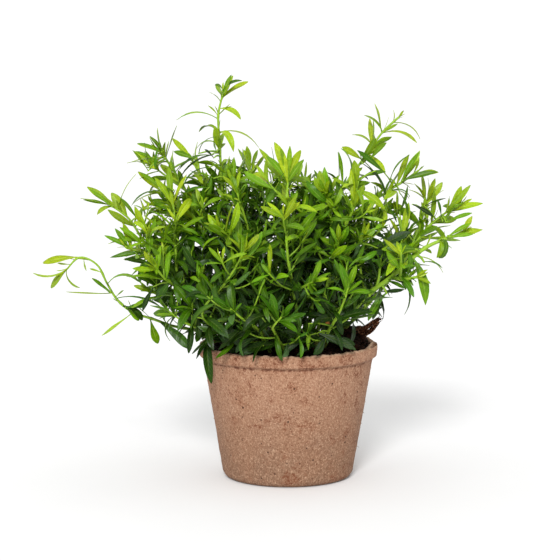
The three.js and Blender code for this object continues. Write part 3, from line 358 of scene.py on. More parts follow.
# What light does in a fresh leaf or stem: it enters a little way, and green comes out again.
FRESH = {
    "IOR": 1.42, "Subsurface Weight": 0.12, "Subsurface Radius": (0.6, 1.0, 0.25),
    "Subsurface Scale": 1.0 * MM,
}

# The stage, in metres, degrees and watts.
FLOOR_REACH = 60
FLOOR_GAP = 0.0002
ROOM_LIGHT = 0.94
KEY_TURN = -7
KEY_RISE = 31
KEY_SOFTNESS = 13
CAMERA_TARGET = (-0.00533, 0, 0.132)
CAMERA_PITCH = 7.5
CAMERA_LENS = 144.64
CAMERA_SENSOR = 36

# Each listed stem: the foot's x and y, then the points that it passes, and last its tip. A side
# shoot leaves its stem at a share of the stem's length. A leaf that shows by itself has the place
# of its root, as such a share, the place of its tip, its width, how many degrees it arches over on
# the way, and how many it turns its upper face to the front.
STEMS = [
    {
        "name": "stem_trailing_left", "foot": (-40, -5), "bare": True,
        "points": [
            (-56, -7, 98), (-72, -9, 101), (-88, -12, 107), (-104, -14, 113), (-116, -16, 125),
            (-123, -16, 140), (-131, -16, 149), (-140, -16, 148), (-147, -16, 140),
        ],
        "leaves": [
            (0.37, (-65, -20, 89), 6.5, 15, 50), (0.42, (-86, -19, 92), 6.5, 10, 50),
            (0.51, (-124, -10, 96), 5, -10, 20), (0.56, (-98, -21, 108), 5, 60, 10),
            (0.64, (-129, -19, 136), 4, 10, 30), (0.65, (-147, -12, 126), 3, -12, 10),
            (0.7, (-98, -18, 133), 4.5, 110, 15), (0.88, (-133, -16, 139), 2.5, 10, 20),
            (0.9, (-162, -14, 145), 6, 20, 40), (0.97, (-168, -20, 139), 4, -80, 20),
            (0.98, (-157, -12, 128), 6, 10, 45), (0.99, (-137, -17, 129), 2.5, -110, 10),
        ],
    },
    {
        "name": "stem_left_high", "foot": (-26, -4),
        "points": [
            (-36, -7, 108), (-52, -11, 125), (-70, -14, 138), (-88, -18, 150), (-97, -20, 164),
            (-106, -20, 177), (-116, -20, 184),
        ],
        "leaves": [
            (0.98, (-132, -18, 196), 5, 10, 40), (1, (-136, -24, 189), 3, 10, 15),
            (0.99, (-125, -23, 178), 5, 60, 30), (0.9, (-116, -17, 192), 6.5, 10, 45),
            (0.96, (-99, -22, 205), 2.5, 35, 5), (0.85, (-95, -22, 184), 3, 10, 20),
            (0.72, (-117, -24, 150), 4, 10, 15), (0.67, (-108, -11, 147), 5, 10, 25),
        ],
        "shoots": [
            {
                "at": 0.45, "points": [(-96, -26, 153), (-106, -30, 158)],
                "leaves": [(0.87, (-119, -28, 164), 3.5, 5, 30), (0.9, (-108, -25, 173), 5, 5, 40)],
            },
        ],
    },
    {
        "name": "stem_upper_left", "foot": (-23, 9),
        "points": [(-38, 9, 122), (-54, 5, 152), (-67, 0, 190), (-78, -4, 209), (-84, -5, 219)],
        "leaves": [
            (0.97, (-86, -5, 234), 3.5, 20, 25), (0.98, (-100, -1, 223), 4, 20, 25),
            (0.98, (-91, -8, 228), 5, 5, 45),
        ],
        "shoots": [
            {
                "at": 0.8, "points": [(-82, 2, 202), (-90, 4, 208)],
                "leaves": [(0.8, (-103, 5, 218), 5, 5, 45), (0.85, (-107, 0, 210), 2.5, 60, 10)],
            },
            {
                "at": 0.6, "points": [(-70, 3, 179), (-80, 4, 188), (-87, 4, 193)],
                "leaves": [
                    (0.92, (-100, 6, 204), 5, 5, 45), (0.86, (-104, 4, 182), 3, 45, 15),
                    (0.5, (-91, -3, 186), 5.5, 5, 45),
                ],
            },
        ],
    },
    {
        "name": "stem_tallest", "foot": (-14, 1),
        "points": [
            (-24, 1, 118), (-35, 1, 146), (-43, 1, 186), (-45, 1, 217), (-46, 0, 245), (-43, 0, 256),
        ],
        "leaves": [
            (0.94, (-31, -3, 239), 5, 80, 25), (0.9, (-74, 3, 238), 3.5, 75, 15),
            (0.85, (-19, -2, 220), 3.5, 75, 10), (0.8, (-61, 5, 219), 3, 100, 10),
            (0.97, (-36, 0, 268), 5.5, 10, 40), (0.98, (-26, -3, 264), 5, 25, 35),
            (0.99, (-48, 3, 262), 3, 20, 20),
        ],
        "shoots": [
            {
                "at": 0.48, "points": [(-56, 6, 196), (-64, 8, 212)],
                "leaves": [(0.97, (-77, 8, 226), 5.5, 5, 45), (0.9, (-60, 6, 224), 4, 20, 30)],
            },
        ],
    },
    {
        "name": "stem_front_centre", "foot": (3, -15),
        "points": [(6, -34, 108), (3, -54, 134), (-1, -65, 161), (-1, -62, 191), (0, -54, 206)],
        "leaves": [
            (0.96, (-9, -57, 228), 6, 30, 40), (0.99, (8, -58, 223), 5, 10, 40),
            (0.08, (-3, -45, 90), 6, 15, 60), (0.14, (17, -48, 94), 4.6, 15, 45),
        ],
        "shoots": [
            {"at": 0.4, "points": [(10, -74, 138), (16, -84, 142)]},
        ],
    },
    {
        "name": "stem_upper_right", "foot": (-7, -13),
        "points": [
            (-9, -24, 135), (-2, -28, 163), (9, -27, 172), (21, -22, 178), (32, -17, 190), (49, -10, 213),
            (63, -7, 232), (73, -6, 241),
        ],
        "leaves": [
            (0.97, (87, -9, 226), 2.5, 80, 10), (0.92, (50, -4, 242), 4, 60, 20),
            (0.86, (42, -4, 229), 3.5, 70, 20), (0.87, (56, -11, 240), 4, -5, 30),
            (0.8, (35, -16, 222), 6, 5, 45), (0.82, (65, -5, 224), 5, 5, 40),
            (0.83, (64, -14, 204), 5, 20, 40), (0.8, (62, -8, 195), 2.5, 30, 15),
            (0.68, (33, -16, 219), 3.5, 5, 30),
        ],
        "shoots": [
            {"at": 0.64, "points": [(22, -34, 188), (24, -38, 194)]},
        ],
    },
    {
        "name": "stem_right_middle", "foot": (14, -8),
        "points": [(24, -16, 124), (33, -22, 152), (41, -23, 180), (46, -21, 200)],
        "leaves": [
            (0.95, (63, -28, 182), 6, 30, 40), (0.97, (43, -22, 214), 6, 5, 45),
            (0.9, (28, -30, 203), 4, 40, 25),
        ],
        "shoots": [
            {"at": 0.45, "points": [(42, -42, 158), (48, -50, 166)]},
        ],
    },
    {
        "name": "stem_right_high", "foot": (22, 6),
        "points": [(29, 2, 125), (38, -3, 151), (48, -5, 176), (60, -7, 188), (75, -8, 198), (86, -9, 206)],
        "leaves": [
            (0.9, (87, -6, 219), 5, 5, 35), (0.96, (99, -12, 205), 5.5, 15, 35),
            (0.87, (80, -2, 216), 4, 45, 20), (0.83, (80, -12, 187), 2.5, 80, 5),
        ],
        "shoots": [
            {"at": 0.42, "points": [(58, 8, 147), (70, 12, 153)]},
        ],
    },
    {
        "name": "stem_right_thick", "foot": (24, -12), "bare": True,
        "points": [
            (34, -20, 108), (44, -26, 118), (55, -33, 129), (72, -38, 143), (84, -40, 155), (96, -40, 162),
            (108, -40, 166), (115, -40, 168),
        ],
        "leaves": [
            (0.91, (126, -40, 170), 5.5, 15, 35), (0.86, (96, -43, 152), 4, 150, 25),
            (0.7, (89, -44, 121), 7, 40, 45), (0.71, (101, -36, 141), 2.5, 70, 10),
            (0.41, (31, -40, 114), 7, 15, 30), (0.48, (55, -38, 111), 5, 40, 25),
            (0.05, (33, -28, 103), 5, 20, 30), (0.52, (75, -42, 132), 3.5, 20, 30),
            (0.74, (60, -48, 158), 6, 20, 45), (0.98, (119, -40, 179), 4, 10, 30),
        ],
        "shoots": [
            {
                "at": 0.55, "points": [(76, -43, 138), (83, -46, 140)],
                "leaves": [(0.9, (92, -48, 136), 3.5, 25, 25), (0.95, (90, -47, 145), 3, 10, 20)],
            },
        ],
    },
    {
        "name": "stem_right_low", "foot": (36, 3),
        "points": [
            (50, -5, 113), (64, -12, 130), (77, -17, 148), (88, -18, 165), (98, -18, 175), (107, -18, 181),
            (114, -17, 185),
        ],
        "leaves": [
            (0.9, (128, -18, 185), 5.5, 15, 40), (0.92, (114, -14, 196), 5, 10, 40),
            (0.88, (114, -27, 184), 6, 15, 45),
        ],
        "shoots": [
            {
                "at": 0.6, "points": [(89, -9, 175), (93, -7, 190)],
                "leaves": [
                    (0.79, (88, -8, 204), 4.5, 5, 30), (0.83, (102, -5, 198), 5, 5, 35),
                    (0.78, (103, -12, 188), 3.5, 10, 15),
                ],
            },
            {
                "at": 0.42, "points": [(72, -20, 150), (75, -22, 163)],
                "leaves": [(0.95, (79, -20, 186), 4.7, -10, 45), (0.9, (66, -20, 176), 3.5, 20, 30)],
            },
        ],
    },
    {
        "name": "stem_front_left", "foot": (-28, -20),
        "points": [
            (-45, -37, 104), (-55, -51, 114), (-52, -61, 125), (-41, -69, 138), (-31, -75, 154),
            (-28, -76, 160),
        ],
    },
    {
        "name": "stem_left_rim", "foot": (-38, -17),
        "points": [(-48, -23, 98), (-57, -29, 103), (-67, -33, 108), (-78, -34, 116)],
        "leaves": [(0.42, (-50, -41, 69), 6.5, 25, 45), (0.5, (-60, -37, 96), 4.5, 10, 50)],
    },
    {
        "name": "stem_left_front", "foot": (-33, -12),
        "points": [
            (-49, -20, 107), (-64, -27, 121), (-72, -30, 137), (-73, -31, 151), (-74, -30, 165),
            (-74, -28, 178), (-76, -26, 190),
        ],
        "leaves": [
            (0.99, (-78, -24, 210), 4.5, 5, 40), (0.96, (-66, -28, 205), 4, 10, 30),
            (0.95, (-87, -28, 203), 4, 15, 40), (0.78, (-54, -34, 178), 4.5, 30, 25),
            (0.74, (-87, -33, 163), 4, 20, 30), (0.66, (-58, -38, 142), 4.5, 20, 30),
            (0.5, (-97, -35, 142), 5, 20, 40),
        ],
    },
    {
        "name": "stem_front_low_left", "foot": (-12, -30),
        "points": [(-19, -50, 106), (-28, -68, 115), (-37, -77, 124)],
        "leaves": [(0.08, (-30, -38, 91), 5, 10, 60), (0.6, (-40, -52, 97), 6, 10, 60)],
    },
    {
        "name": "stem_front_low_middle", "foot": (-2, -38),
        "points": [(-8, -56, 104), (-10, -68, 110), (-4, -78, 119)],
    },
    {
        "name": "stem_front_low_right", "foot": (20, -30),
        "points": [(27, -50, 107), (33, -68, 121), (38, -78, 138)],
        "leaves": [(0.2, (44, -36, 94), 6.5, 20, 55)],
    },
]

# The rest of the clump by rule: tips spread evenly over an egg-shaped dome. Each stem has the
# way that it leans, in degrees round the pot from +X, how far it leans from upright, and its share
# of the dome's reach.
DOME = {"x": 96, "y": 94, "z": 106, "base": 104, "foot": 40, "size": (0.94, 0.1)}
DOME_ROUTE = [(0.22, 0.34), (0.56, 0.7)]
DOME_TRIES = {"count": 30, "turn": 2, "lean": 0.5, "own_soil": 8}
DOME_STEMS = [
    ("stem_back_left", 148, 66, 1),
    ("stem_back_middle_left", 116, 52, 1),
    ("stem_back_middle_right", 78, 60, 1),
    ("stem_back_right", 40, 66, 1),
    ("stem_right_back", 14, 62, 1),
    ("stem_left_back", 172, 56, 1),
    ("stem_crown_back_left", 130, 24, 1),
    ("stem_crown_back_right", 55, 28, 0.88),
    ("stem_crown_front_left", 225, 30, 1),
    ("stem_crown_front_right", 318, 40, 1),
    ("stem_crown_centre", 20, 8, 0.84),
    ("stem_back_low_left", 132, 84, 1),
    ("stem_back_low_middle", 95, 86, 1),
    ("stem_back_low_right", 62, 84, 1),
    ("stem_left_low", 187, 80, 1),
    ("stem_left_middle", 193, 46, 1),
    ("stem_crown_left", 190, 24, 1),
    ("stem_crown_right", 350, 20, 0.84),
]

DRAW_MODULUS = 2147483647
DRAW_FACTOR = 48271
SEED_FACTOR = 7919
SEED_START = 13
CURVE_STEPS = 200


def draw_from(seed):
    """A repeatable draw between 0 and 1: the state times a factor, modulo a prime, over that prime."""
    state = (seed * SEED_FACTOR + SEED_START) % DRAW_MODULUS

    def draw():
        nonlocal state
        state = state * DRAW_FACTOR % DRAW_MODULUS
        return state / DRAW_MODULUS

    return draw


def drawn(draw, least, more):
    """A least value and a drawn share of how much more it may be."""
    return least + more * draw()


def either_way(draw, spread):
    """A drawn value that is as often above nought as below it."""
    return spread * (draw() - 0.5)


def either_side(step, i):
    """Steps out to either side by turns: none, one, minus one, two, minus two and so on."""
    return (step if i % 2 else -step) * math.ceil(i / 2)


def unit(v):
    """The same directions at length one: each over the root of the sum of its squares."""
    return v / np.linalg.norm(v, axis=-1, keepdims=True)


def square_to(way, v):
    """A direction less the part of it that runs along a way, at length one."""
    return unit(v - way * (v * way).sum(-1, keepdims=True))


def turned_round(first, second, angle):
    """A direction at an angle from first towards second: first by the cosine and second by the sine."""
    angle = np.asarray(angle)[..., None]
    return first * np.cos(angle) + second * np.sin(angle)


def wall_radius(z):
    """The pot wall's outer radius at a height: a straight taper from the base to under the lip."""
    top = LIP_RADIUS - LIP_STEP
    return POT_BASE_RADIUS + (top - POT_BASE_RADIUS) * z / (POT_HEIGHT - LIP_HEIGHT)


def soil_height(x, y):
    """The soil's height: a mound that falls with the square of the radius, lumps as a sine times a
    cosine, and a bell-shaped clump by the rim, all faded out where the soil meets the wall."""
    r = np.minimum(1, np.hypot(x, y) / wall_radius(SOIL_EDGE_HEIGHT))
    mound = SOIL_MOUND * (1 - r * r)
    waves = np.sin(x / SOIL_LUMP["x"] + 1) * np.cos(y / SOIL_LUMP["y"])
    lumps = SOIL_LUMP["height"] * waves * (1 - r ** 4)
    far = ((x - CLUMP["x"]) ** 2 + (y - CLUMP["y"]) ** 2) / (2 * CLUMP["spread"] ** 2)
    return SOIL_EDGE_HEIGHT + mound + lumps + CLUMP["height"] * np.exp(-far) * (1 - r ** 12)


def smooth_through(points, share):
    """Places on a smooth curve at shares from 0 to 1: between two points a cubic runs, whose slope
    at each is half the way between its two neighbours, and an end's missing neighbour is mirrored."""
    points = np.asarray(points, float)
    spans = len(points) - 1
    more = np.vstack([2 * points[0] - points[1], points, 2 * points[-1] - points[-2]])
    i = np.minimum((share * spans).astype(int), spans - 1)
    w = (share * spans - i)[:, None]
    before, start, end, after = (more[i + k] for k in range(4))
    slope, last_slope = (end - before) / 2, (after - start) / 2
    square = 3 * (end - start) - 2 * slope - last_slope
    cube = 2 * (start - end) + slope + last_slope
    return start + slope * w + square * w ** 2 + cube * w ** 3


def running_length(places):
    """The length of a chain of places from its first to each of them."""
    steps = np.linalg.norm(np.diff(places, axis=0), axis=1)
    return np.concatenate([[0], np.cumsum(steps)])


def lay_path(points, spacing, foot=None):
    """A chain of places with equal steps, with its direction and a side that never spins. With a
    foot, the chain starts straight down in the soil."""
    share = np.linspace(0, 1, CURVE_STEPS + 1)
    lengths = running_length(smooth_through(points, share))
    count = max(2, math.floor(lengths[-1] / spacing + 0.5))
    even = np.interp(np.linspace(0, 1, count + 1) * lengths[-1], lengths, share)
    place = smooth_through(points, even)
    if foot is not None:
        place = np.vstack([foot, place])
    last = len(place) - 1
    order = np.arange(last + 1)
    along = unit(place[np.minimum(order + 1, last)] - place[np.maximum(order - 1, 0)])
    side = [np.array([1.0, 0.0, 0.0])]
    for way in along:
        side.append(square_to(way, side[-1]))
    distance = running_length(place)
    return {
        "place": place, "distance": distance, "along": along, "side": np.array(side[1:]),
        "length": distance[-1], "start": 0.0 if foot is None else distance[1],
    }


def chain_step(path, s):
    """The chain place that comes next after a distance, and how far it is on the way there."""
    distance = path["distance"]
    i = np.clip(np.searchsorted(distance, s), 1, len(distance) - 1)
    return i, np.clip((s - distance[i - 1]) / (distance[i] - distance[i - 1]), 0, 1)


def on_path(path, s):
    """Place, direction and side at a distance: each goes straight from one chain place to the next."""
    i, f = chain_step(path, s)
    f = np.asarray(f)[..., None]
    place, along, side = (
        path[key][i - 1] + (path[key][i] - path[key][i - 1]) * f for key in ("place", "along", "side")
    )
    along = unit(along)
    return place, along, square_to(along, side)


def smooth_place(path, s):
    """The place at a distance on the smooth curve through the chain's own places."""
    i, f = chain_step(path, s)
    return smooth_through(path["place"], np.atleast_1d((i - 1 + f) / (len(path["distance"]) - 1)))


def at_share(path, at):
    """The distance at a share of the path above the soil."""
    return path["start"] + at * (path["length"] - path["start"])


def arc(angle, bend, u):
    """How far ahead and aside an arc has come at u, when it starts at an angle and bends on by a
    further one: the difference of two sines and that of two cosines, each over the bend."""
    bend = np.where(np.abs(bend) < LEAST_BEND, LEAST_BEND, bend)
    turned = angle + bend * u
    return (np.sin(turned) - np.sin(angle)) / bend, (np.cos(angle) - np.cos(turned)) / bend


def leaf_point(leaf, u):
    """The midrib at u: an arc between the leaf's direction along its stem and the way out from it."""
    ahead, aside = arc(leaf["angle"], leaf["bend"], np.asarray(u, float)[..., None])
    return leaf["root"] + leaf["length"] * (leaf["along"] * ahead + leaf["out"] * aside)


def leaf_half_width(width, u):
    """Half the width at u: a lance shape, a sine widest past the middle, on a short straight neck."""
    lance = np.sin(np.pi * np.minimum(1, u) ** LANCE["widest"]) ** LANCE["blunt"]
    return np.maximum(NECK_HALF_WIDTH * (1 - u), 0.5 * width * lance)


def stands_clear_of_pot(place, radius):
    """Whether balls are beside the pot and off the ground, over the soil, or above the lip."""
    reach = np.hypot(place[:, 0], place[:, 1])
    beside = place[:, 2] - radius > GROUND_SPARE
    over = place[:, 2] - SOIL_SPARE > soil_height(place[:, 0], place[:, 1])
    above = place[:, 2] - radius > POT_HEIGHT + GAP
    inside = reach + radius < LIP_RADIUS - LIP_STEP - WALL
    return np.where(reach - radius > LIP_RADIUS + GAP, beside, np.where(inside, over, above))


class Room:
    """Balls along every stem and leaf so far, used to bend each new one clear of its neighbours."""

    def __init__(self):
        self.balls = np.empty((0, 6))

    def take(self, places, radii, owner, stem):
        """Keeps balls: each row is a place, a radius, an owner and whether it is on a stem."""
        rows = np.column_stack([places, radii, np.full(len(radii), owner), np.full(len(radii), stem)])
        self.balls = np.vstack([self.balls, rows])

    def near(self, place, reach):
        """The balls within reach of a place."""
        return self.balls[((self.balls[:, :3] - place) ** 2).sum(1) < reach ** 2]

    @staticmethod
    def is_clear(places, radii, owner, first_free, others, joins=False):
        """Leaves of one stem may lie closer together than those of two stems, because they are
        joined, and those of one bunch may touch. The balls before first_free may touch their own
        stem and the soil."""
        if not stands_clear_of_pot(places[first_free:], radii[first_free:]).all():
            return False
        own = others[:, 4] == owner
        both = radii[:, None] + others[:, 3]
        limit = np.where(own, OWN_SHARE * both, both + GAP)
        far = ((places[:, None] - others[:, :3]) ** 2).sum(2)
        starts = np.arange(len(radii))[:, None] < first_free
        free = own & ((others[:, 5] == 1) | starts | joins)
        return bool((free | (far > limit ** 2)).all())


def stem_balls(path, start, end):
    """Balls every BALL_SPACING along a path, with a radius that runs evenly from start to end."""
    count = math.ceil(path["length"] / BALL_SPACING)
    share = np.arange(count + 1) / count
    return on_path(path, share * path["length"])[0], start + (end - start) * share


def leaf_balls(leaf, slimness=1.0):
    """Balls along the midrib, each as wide as the leaf is there."""
    u = np.arange(1, LEAF_SAMPLES + 1) / LEAF_SAMPLES
    half = slimness * leaf_half_width(leaf["width"], u)
    return leaf_point(leaf, u), np.maximum(slimness * LEAST_HALF_WIDTH, half)


def placed_leaf(path, at, tip, width, arch, face):
    """A leaf from its root on the stem to its tip, arched upwards and away from the pot: an arc
    through both, whose length is the chord times half the arch over that half's sine."""
    s = at_share(path, at)
    root = on_path(path, s)[0]
    along = np.array(tip, float) - root
    chord = np.linalg.norm(along)
    along = along / chord
    lift = unit(np.array([root[0], root[1], 0.0])) * ARCH_OUTWARD + UP
    out = -square_to(along, lift)
    half = math.radians(arch) / 2
    roll = math.radians(face) * np.sign(np.cross(along, out)[1])
    return {
        "root": root, "along": along, "out": out, "roll": roll, "width": width, "angle": -half,
        "bend": 2 * half, "length": chord * half / math.sin(half), "s": s, "by_hand": True,
    }


def grow_leaf(room, path, s, turn, leaf, draw, owner, slimness=1.0, joins=False):
    """Grows one leaf on a path at s, turned to an angle round it, or none if no way is clear."""
    place, along, side = on_path(path, s)
    across = np.cross(along, side)
    wander = math.radians(either_way(draw, WANDER))
    lift = drawn(draw, *LIFT)
    others = room.near(place, leaf["length"] + 2 * LOWER_LEAF * LEAF_RATIO)
    for i in range(LEAF_TRIES["count"]):
        sideways = math.radians(either_side(LEAF_TRIES["step"], i))
        out = square_to(along, turned_round(side, across, turn + wander + sideways) + UP * lift)
        grown = {**leaf, "root": place, "along": along, "out": out, "s": s}
        for key in ("angle", "bend", "length"):
            grown[key] = leaf[key] * (1 - LEAF_TRIES[key] * i)
        places, radii = leaf_balls(grown, slimness)
        if room.is_clear(places, radii, owner, ROOT_BALLS, others, joins):
            room.take(places, radii, owner, False)
            return [grown]
    return []


def sized_leaf(length, angle, bend, roll, width):
    """A leaf's form from its length, its angles in degrees and its width as a share of the usual."""
    return {
        "length": length, "angle": math.radians(angle), "bend": math.radians(bend),
        "roll": math.radians(roll), "width": length * LEAF_RATIO * width,
    }


def grow_tuft(room, path, scale, draw, owner):
    """The tuft at a tip: two spreading leaves just below it, and then two upright ones."""
    start = draw() * math.pi
    leaves = []
    for i in range(4):
        kind = TUFT[i // 2]
        leaf = sized_leaf(
            scale * TIP_LEAF * kind["share"] * drawn(draw, *TUFT_LENGTH), drawn(draw, *kind["angle"]),
            kind["bend"] * draw(), either_way(draw, TUFT_TURN), TUFT_WIDTH,
        )
        turn = start + i * math.pi + (i // 2) * math.pi / 2
        leaves += grow_leaf(room, path, path["length"] - kind["below"], turn, leaf, draw, owner)
    return leaves


def grow_pairs(room, branch, draw):
    """Opposite pairs along a path, the lower ones longer and standing out more."""
    path, first, spacing = branch["path"], branch["first"], branch["spacing"]
    leaves = []
    start = draw() * math.pi
    pairs = max(1, math.floor((path["length"] - first) / spacing))
    for i in range(2 * pairs):
        pair = i // 2
        f = pair / pairs
        full = LOWER_LEAF + (UPPER_LEAF - LOWER_LEAF) * f
        leaf = sized_leaf(
            branch["scale"] * full * drawn(draw, *PAIR["length"]),
            PAIR["angle"] - PAIR["less"] * f + either_way(draw, PAIR["vary"]),
            PAIR["over"] * draw() ** PAIR["power"] - PAIR["back"],
            either_way(draw, PAIR["turn"]), drawn(draw, *PAIR["width"]),
        )
        turn = start + pair * math.pi / 2 + i * math.pi
        leaves += grow_leaf(room, path, first + spacing * pair, turn, leaf, draw, branch["owner"])
    return leaves


def stem_path(foot, points, spacing):
    """A stem's path: its foot is FOOT_DEPTH under the soil, then it stands out and goes on."""
    x, y = foot
    level = float(soil_height(x, y))
    return lay_path([(x, y, level + ABOVE_SOIL), *points], spacing, (x, y, level - FOOT_DEPTH))


def dome_path(turn, lean, size):
    """A stem that rises nearly upright from its foot and then leans out to its tip on the dome. Its
    route is given in shares of the way outwards and of the way up."""
    across = np.array([math.cos(turn), math.sin(turn)]) * math.sin(lean)
    foot = across * DOME["foot"]
    level = float(soil_height(*foot))
    tip = np.array([DOME["x"] * across[0], DOME["y"] * across[1], DOME["z"] * math.cos(lean)]) * size
    tip[2] += DOME["base"]
    way = tip - (*foot, level)
    points = [
        (foot[0] + way[0] * outward, foot[1] + way[1] * outward, level + way[2] * upward)
        for outward, upward in DOME_ROUTE
    ]
    return stem_path(foot, [*points, tuple(tip)], RING_SPACING["dome"])


def grow_dome_stem(room, name, turn, lean, reach, owner):
    """Turns a dome stem a little each way until it stands clear of the stems before it."""
    size = reach * drawn(draw_from(SEEDS["dome"] + owner), *DOME["size"])
    for i in range(DOME_TRIES["count"]):
        turned = math.radians(turn + either_side(DOME_TRIES["turn"], i))
        path = dome_path(turned, math.radians(lean - DOME_TRIES["lean"] * i), size)
        balls = stem_balls(path, FOOT_RADIUS, TIP_RADIUS)
        if room.is_clear(*balls, owner, DOME_TRIES["own_soil"], room.balls):
            return {"name": name, "path": path, "leaves": [], "shoots": [], "bare": False}
    raise RuntimeError(f"{name} finds no room")


def rising_route(place, along, side, turn, length, bend):
    """Three points of a shoot that leaves at a turn round its stem, leans by shares of straight up
    and of the stem's own way, and rises once more towards its end."""
    way = turned_round(side, np.cross(along, side), turn)
    way = unit(way + UP * bend["up"] + along * bend["along"])
    end = place + way * bend["end"] * length + UP * bend["rise"] * length
    return [place, place + way * bend["middle"] * length, end]


def grow_shoot(room, path, owner, draw):
    """A side shoot: it leaves sideways and curves up, in the first clear direction."""
    place, along, side = on_path(path, at_share(path, drawn(draw, *SHOOT["at"])))
    length = SHOOT["length"] * drawn(draw, *SHOOT["vary"])
    start = 2 * math.pi * draw()
    for i in range(SHOOT["tries"]):
        route = rising_route(place, along, side, start + SHOOT["step"] * i, length, SHOOT_BEND)
        shoot = lay_path(route, RING_SPACING["shoot"])
        if room.is_clear(*stem_balls(shoot, SHOOT_RADIUS, TIP_RADIUS), owner, ROOT_BALLS, room.balls):
            return [{"path": shoot, "leaves": []}]
    return []


def lay_shoot(path, shoot):
    """A listed side shoot, from its share of the stem."""
    root = on_path(path, at_share(path, shoot["at"]))[0]
    return {
        "path": lay_path([root, *shoot["points"]], RING_SPACING["shoot"]),
        "leaves": shoot.get("leaves", []),
    }


def lay_stems(room):
    """All stems with their side shoots: those listed, then the dome, then the shoots by rule."""
    stems = []
    for plan in STEMS:
        path = stem_path(plan["foot"], plan["points"], RING_SPACING["placed"])
        stems.append({
            "name": plan["name"], "path": path, "leaves": plan.get("leaves", []),
            "shoots": [lay_shoot(path, shoot) for shoot in plan.get("shoots", [])],
            "bare": plan.get("bare", False),
        })
    for owner, stem in enumerate(stems):
        room.take(*stem_balls(stem["path"], FOOT_RADIUS, TIP_RADIUS), owner, True)
        for shoot in stem["shoots"]:
            room.take(*stem_balls(shoot["path"], SHOOT_RADIUS, TIP_RADIUS), owner, True)
    for name, turn, lean, reach in DOME_STEMS:
        owner = len(stems)
        stems.append(grow_dome_stem(room, name, turn, lean, reach, owner))
        room.take(*stem_balls(stems[owner]["path"], FOOT_RADIUS, TIP_RADIUS), owner, True)
    for owner, stem in enumerate(stems):
        if stem["bare"] or stem["shoots"] or stem["path"]["length"] < SHOOT["least"]:
            continue
        stem["shoots"] = grow_shoot(room, stem["path"], owner, draw_from(SEEDS["shoot"] + owner))
        for shoot in stem["shoots"]:
            room.take(*stem_balls(shoot["path"], SHOOT_RADIUS, TIP_RADIUS), owner, True)
    return stems


def list_branches(stems):
    """A branch is a stem or a side shoot, with the leaves on it."""
    branches = []
    for owner, stem in enumerate(stems):
        branches.append({
            **stem, "owner": owner, "kind": "main", "scale": 1.0, "spacing": PAIR_SPACING,
            "first": at_share(stem["path"], BARE_SHARE),
        })
        for shoot in stem["shoots"]:
            branches.append({
                **shoot, "owner": owner, "kind": "shoot", "scale": SHOOT_SCALE, "first": BARE_SHOOT,
                "spacing": SHOOT_PAIR_SPACING, "bare": False,
            })
    return branches


def has_tip_by_hand(branch):
    """Whether listed leaves already stand near a branch's tip."""
    return any(at > NEAR_TIP for at, *_ in branch["leaves"])


def grow_main_leaves(room, branches):
    """The leaves that the solids have: those listed take their room first, then tufts, then pairs."""
    for branch in branches:
        branch["grown"] = [placed_leaf(branch["path"], *leaf) for leaf in branch["leaves"]]
        for leaf in branch["grown"]:
            room.take(*leaf_balls(leaf), branch["owner"], False)
    for i, branch in enumerate(branches):
        if not has_tip_by_hand(branch):
            draw = draw_from(SEEDS["tuft"] + i)
            branch["grown"] += grow_tuft(room, branch["path"], branch["scale"], draw, branch["owner"])
    for i, branch in enumerate(branches):
        if not branch["bare"]:
            branch["grown"] += grow_pairs(room, branch, draw_from(SEEDS["pair"] + i))


def inside_box(place):
    """Whether a place keeps to the box of the solids, give or take a small spare."""
    low, high = np.array(CAD_BOX) / MM
    return ((place > low - BOX_SPARE) & (place < high + BOX_SPARE)).all()


def grow_little_leaf(room, branch, s, turn, kind, draw):
    """A small leaf of a kind, which only needs a slim way past the leaves around it."""
    leaf = sized_leaf(
        drawn(draw, *kind["length"]), drawn(draw, *kind["angle"]),
        kind["bend"] * (draw() ** LITTLE["power"] - LITTLE["back"]),
        either_way(draw, PAIR["turn"]), drawn(draw, *LITTLE["width"]),
    )
    grown = grow_leaf(room, branch["path"], s, turn, leaf, draw, branch["owner"], SLIMNESS, kind["joins"])
    branch["grown"] += [leaf for leaf in grown if inside_box(leaf_point(leaf, 1.0))]


def twig_from(room, branch, points, bare=False):
    """A twig through points, which belongs to a branch's stem and takes its room."""
    path = lay_path(points, RING_SPACING["twig"])
    room.take(*stem_balls(path, TWIG["room"], TWIG["room"]), branch["owner"], True)
    return {
        "path": path, "owner": branch["owner"], "kind": "twig", "bare": bare, "leaves": [],
        "first": TWIG["first"], "spacing": TWIG["pairs"], "grown": [],
    }


def walk_along(branches):
    """Steps along each branch: their distances and their places."""
    steps = [np.arange(WALK["from"], branch["path"]["length"], WALK["step"]) for branch in branches]
    return [(s, on_path(branch["path"], s)[0]) for branch, s in zip(branches, steps)]


def nearest_step(walks, target):
    """Which branch and which of its steps lie nearest to a target, and how far away that is."""
    away = [np.linalg.norm(places - target, axis=-1) for _, places in walks]
    which = min(range(len(walks)), key=lambda i: away[i].min())
    return which, away[which].argmin(), away[which].min()


def grow_extra_leaves(room, branches):
    """Each extra leaf grows from the nearest place on a stem, or at the end of a twig of its own from
    there where that place is some way off."""
    walks = walk_along(branches)
    for *places, width, arch, face, age in EXTRA_LEAVES:
        start, tip = np.array(places, float).reshape(2, 3)
        which, k, away = nearest_step(walks, start)
        branch, root = branches[which], walks[which][1][k]
        if away > EXTRA_REACH:
            branch = twig_from(room, branch, [root, 0.5 * (root + start) + UP, start], bare=True)
            branches.append(branch)
            share = EXTRA_SHARE
        else:
            share = walks[which][0][k] / branch["path"]["length"]
        leaf = placed_leaf(branch["path"], share, tip, width, arch, face)
        room.take(*leaf_balls(leaf, SLIMNESS), branch["owner"], False)
        branch["grown"].append({**leaf, "set_age": age})


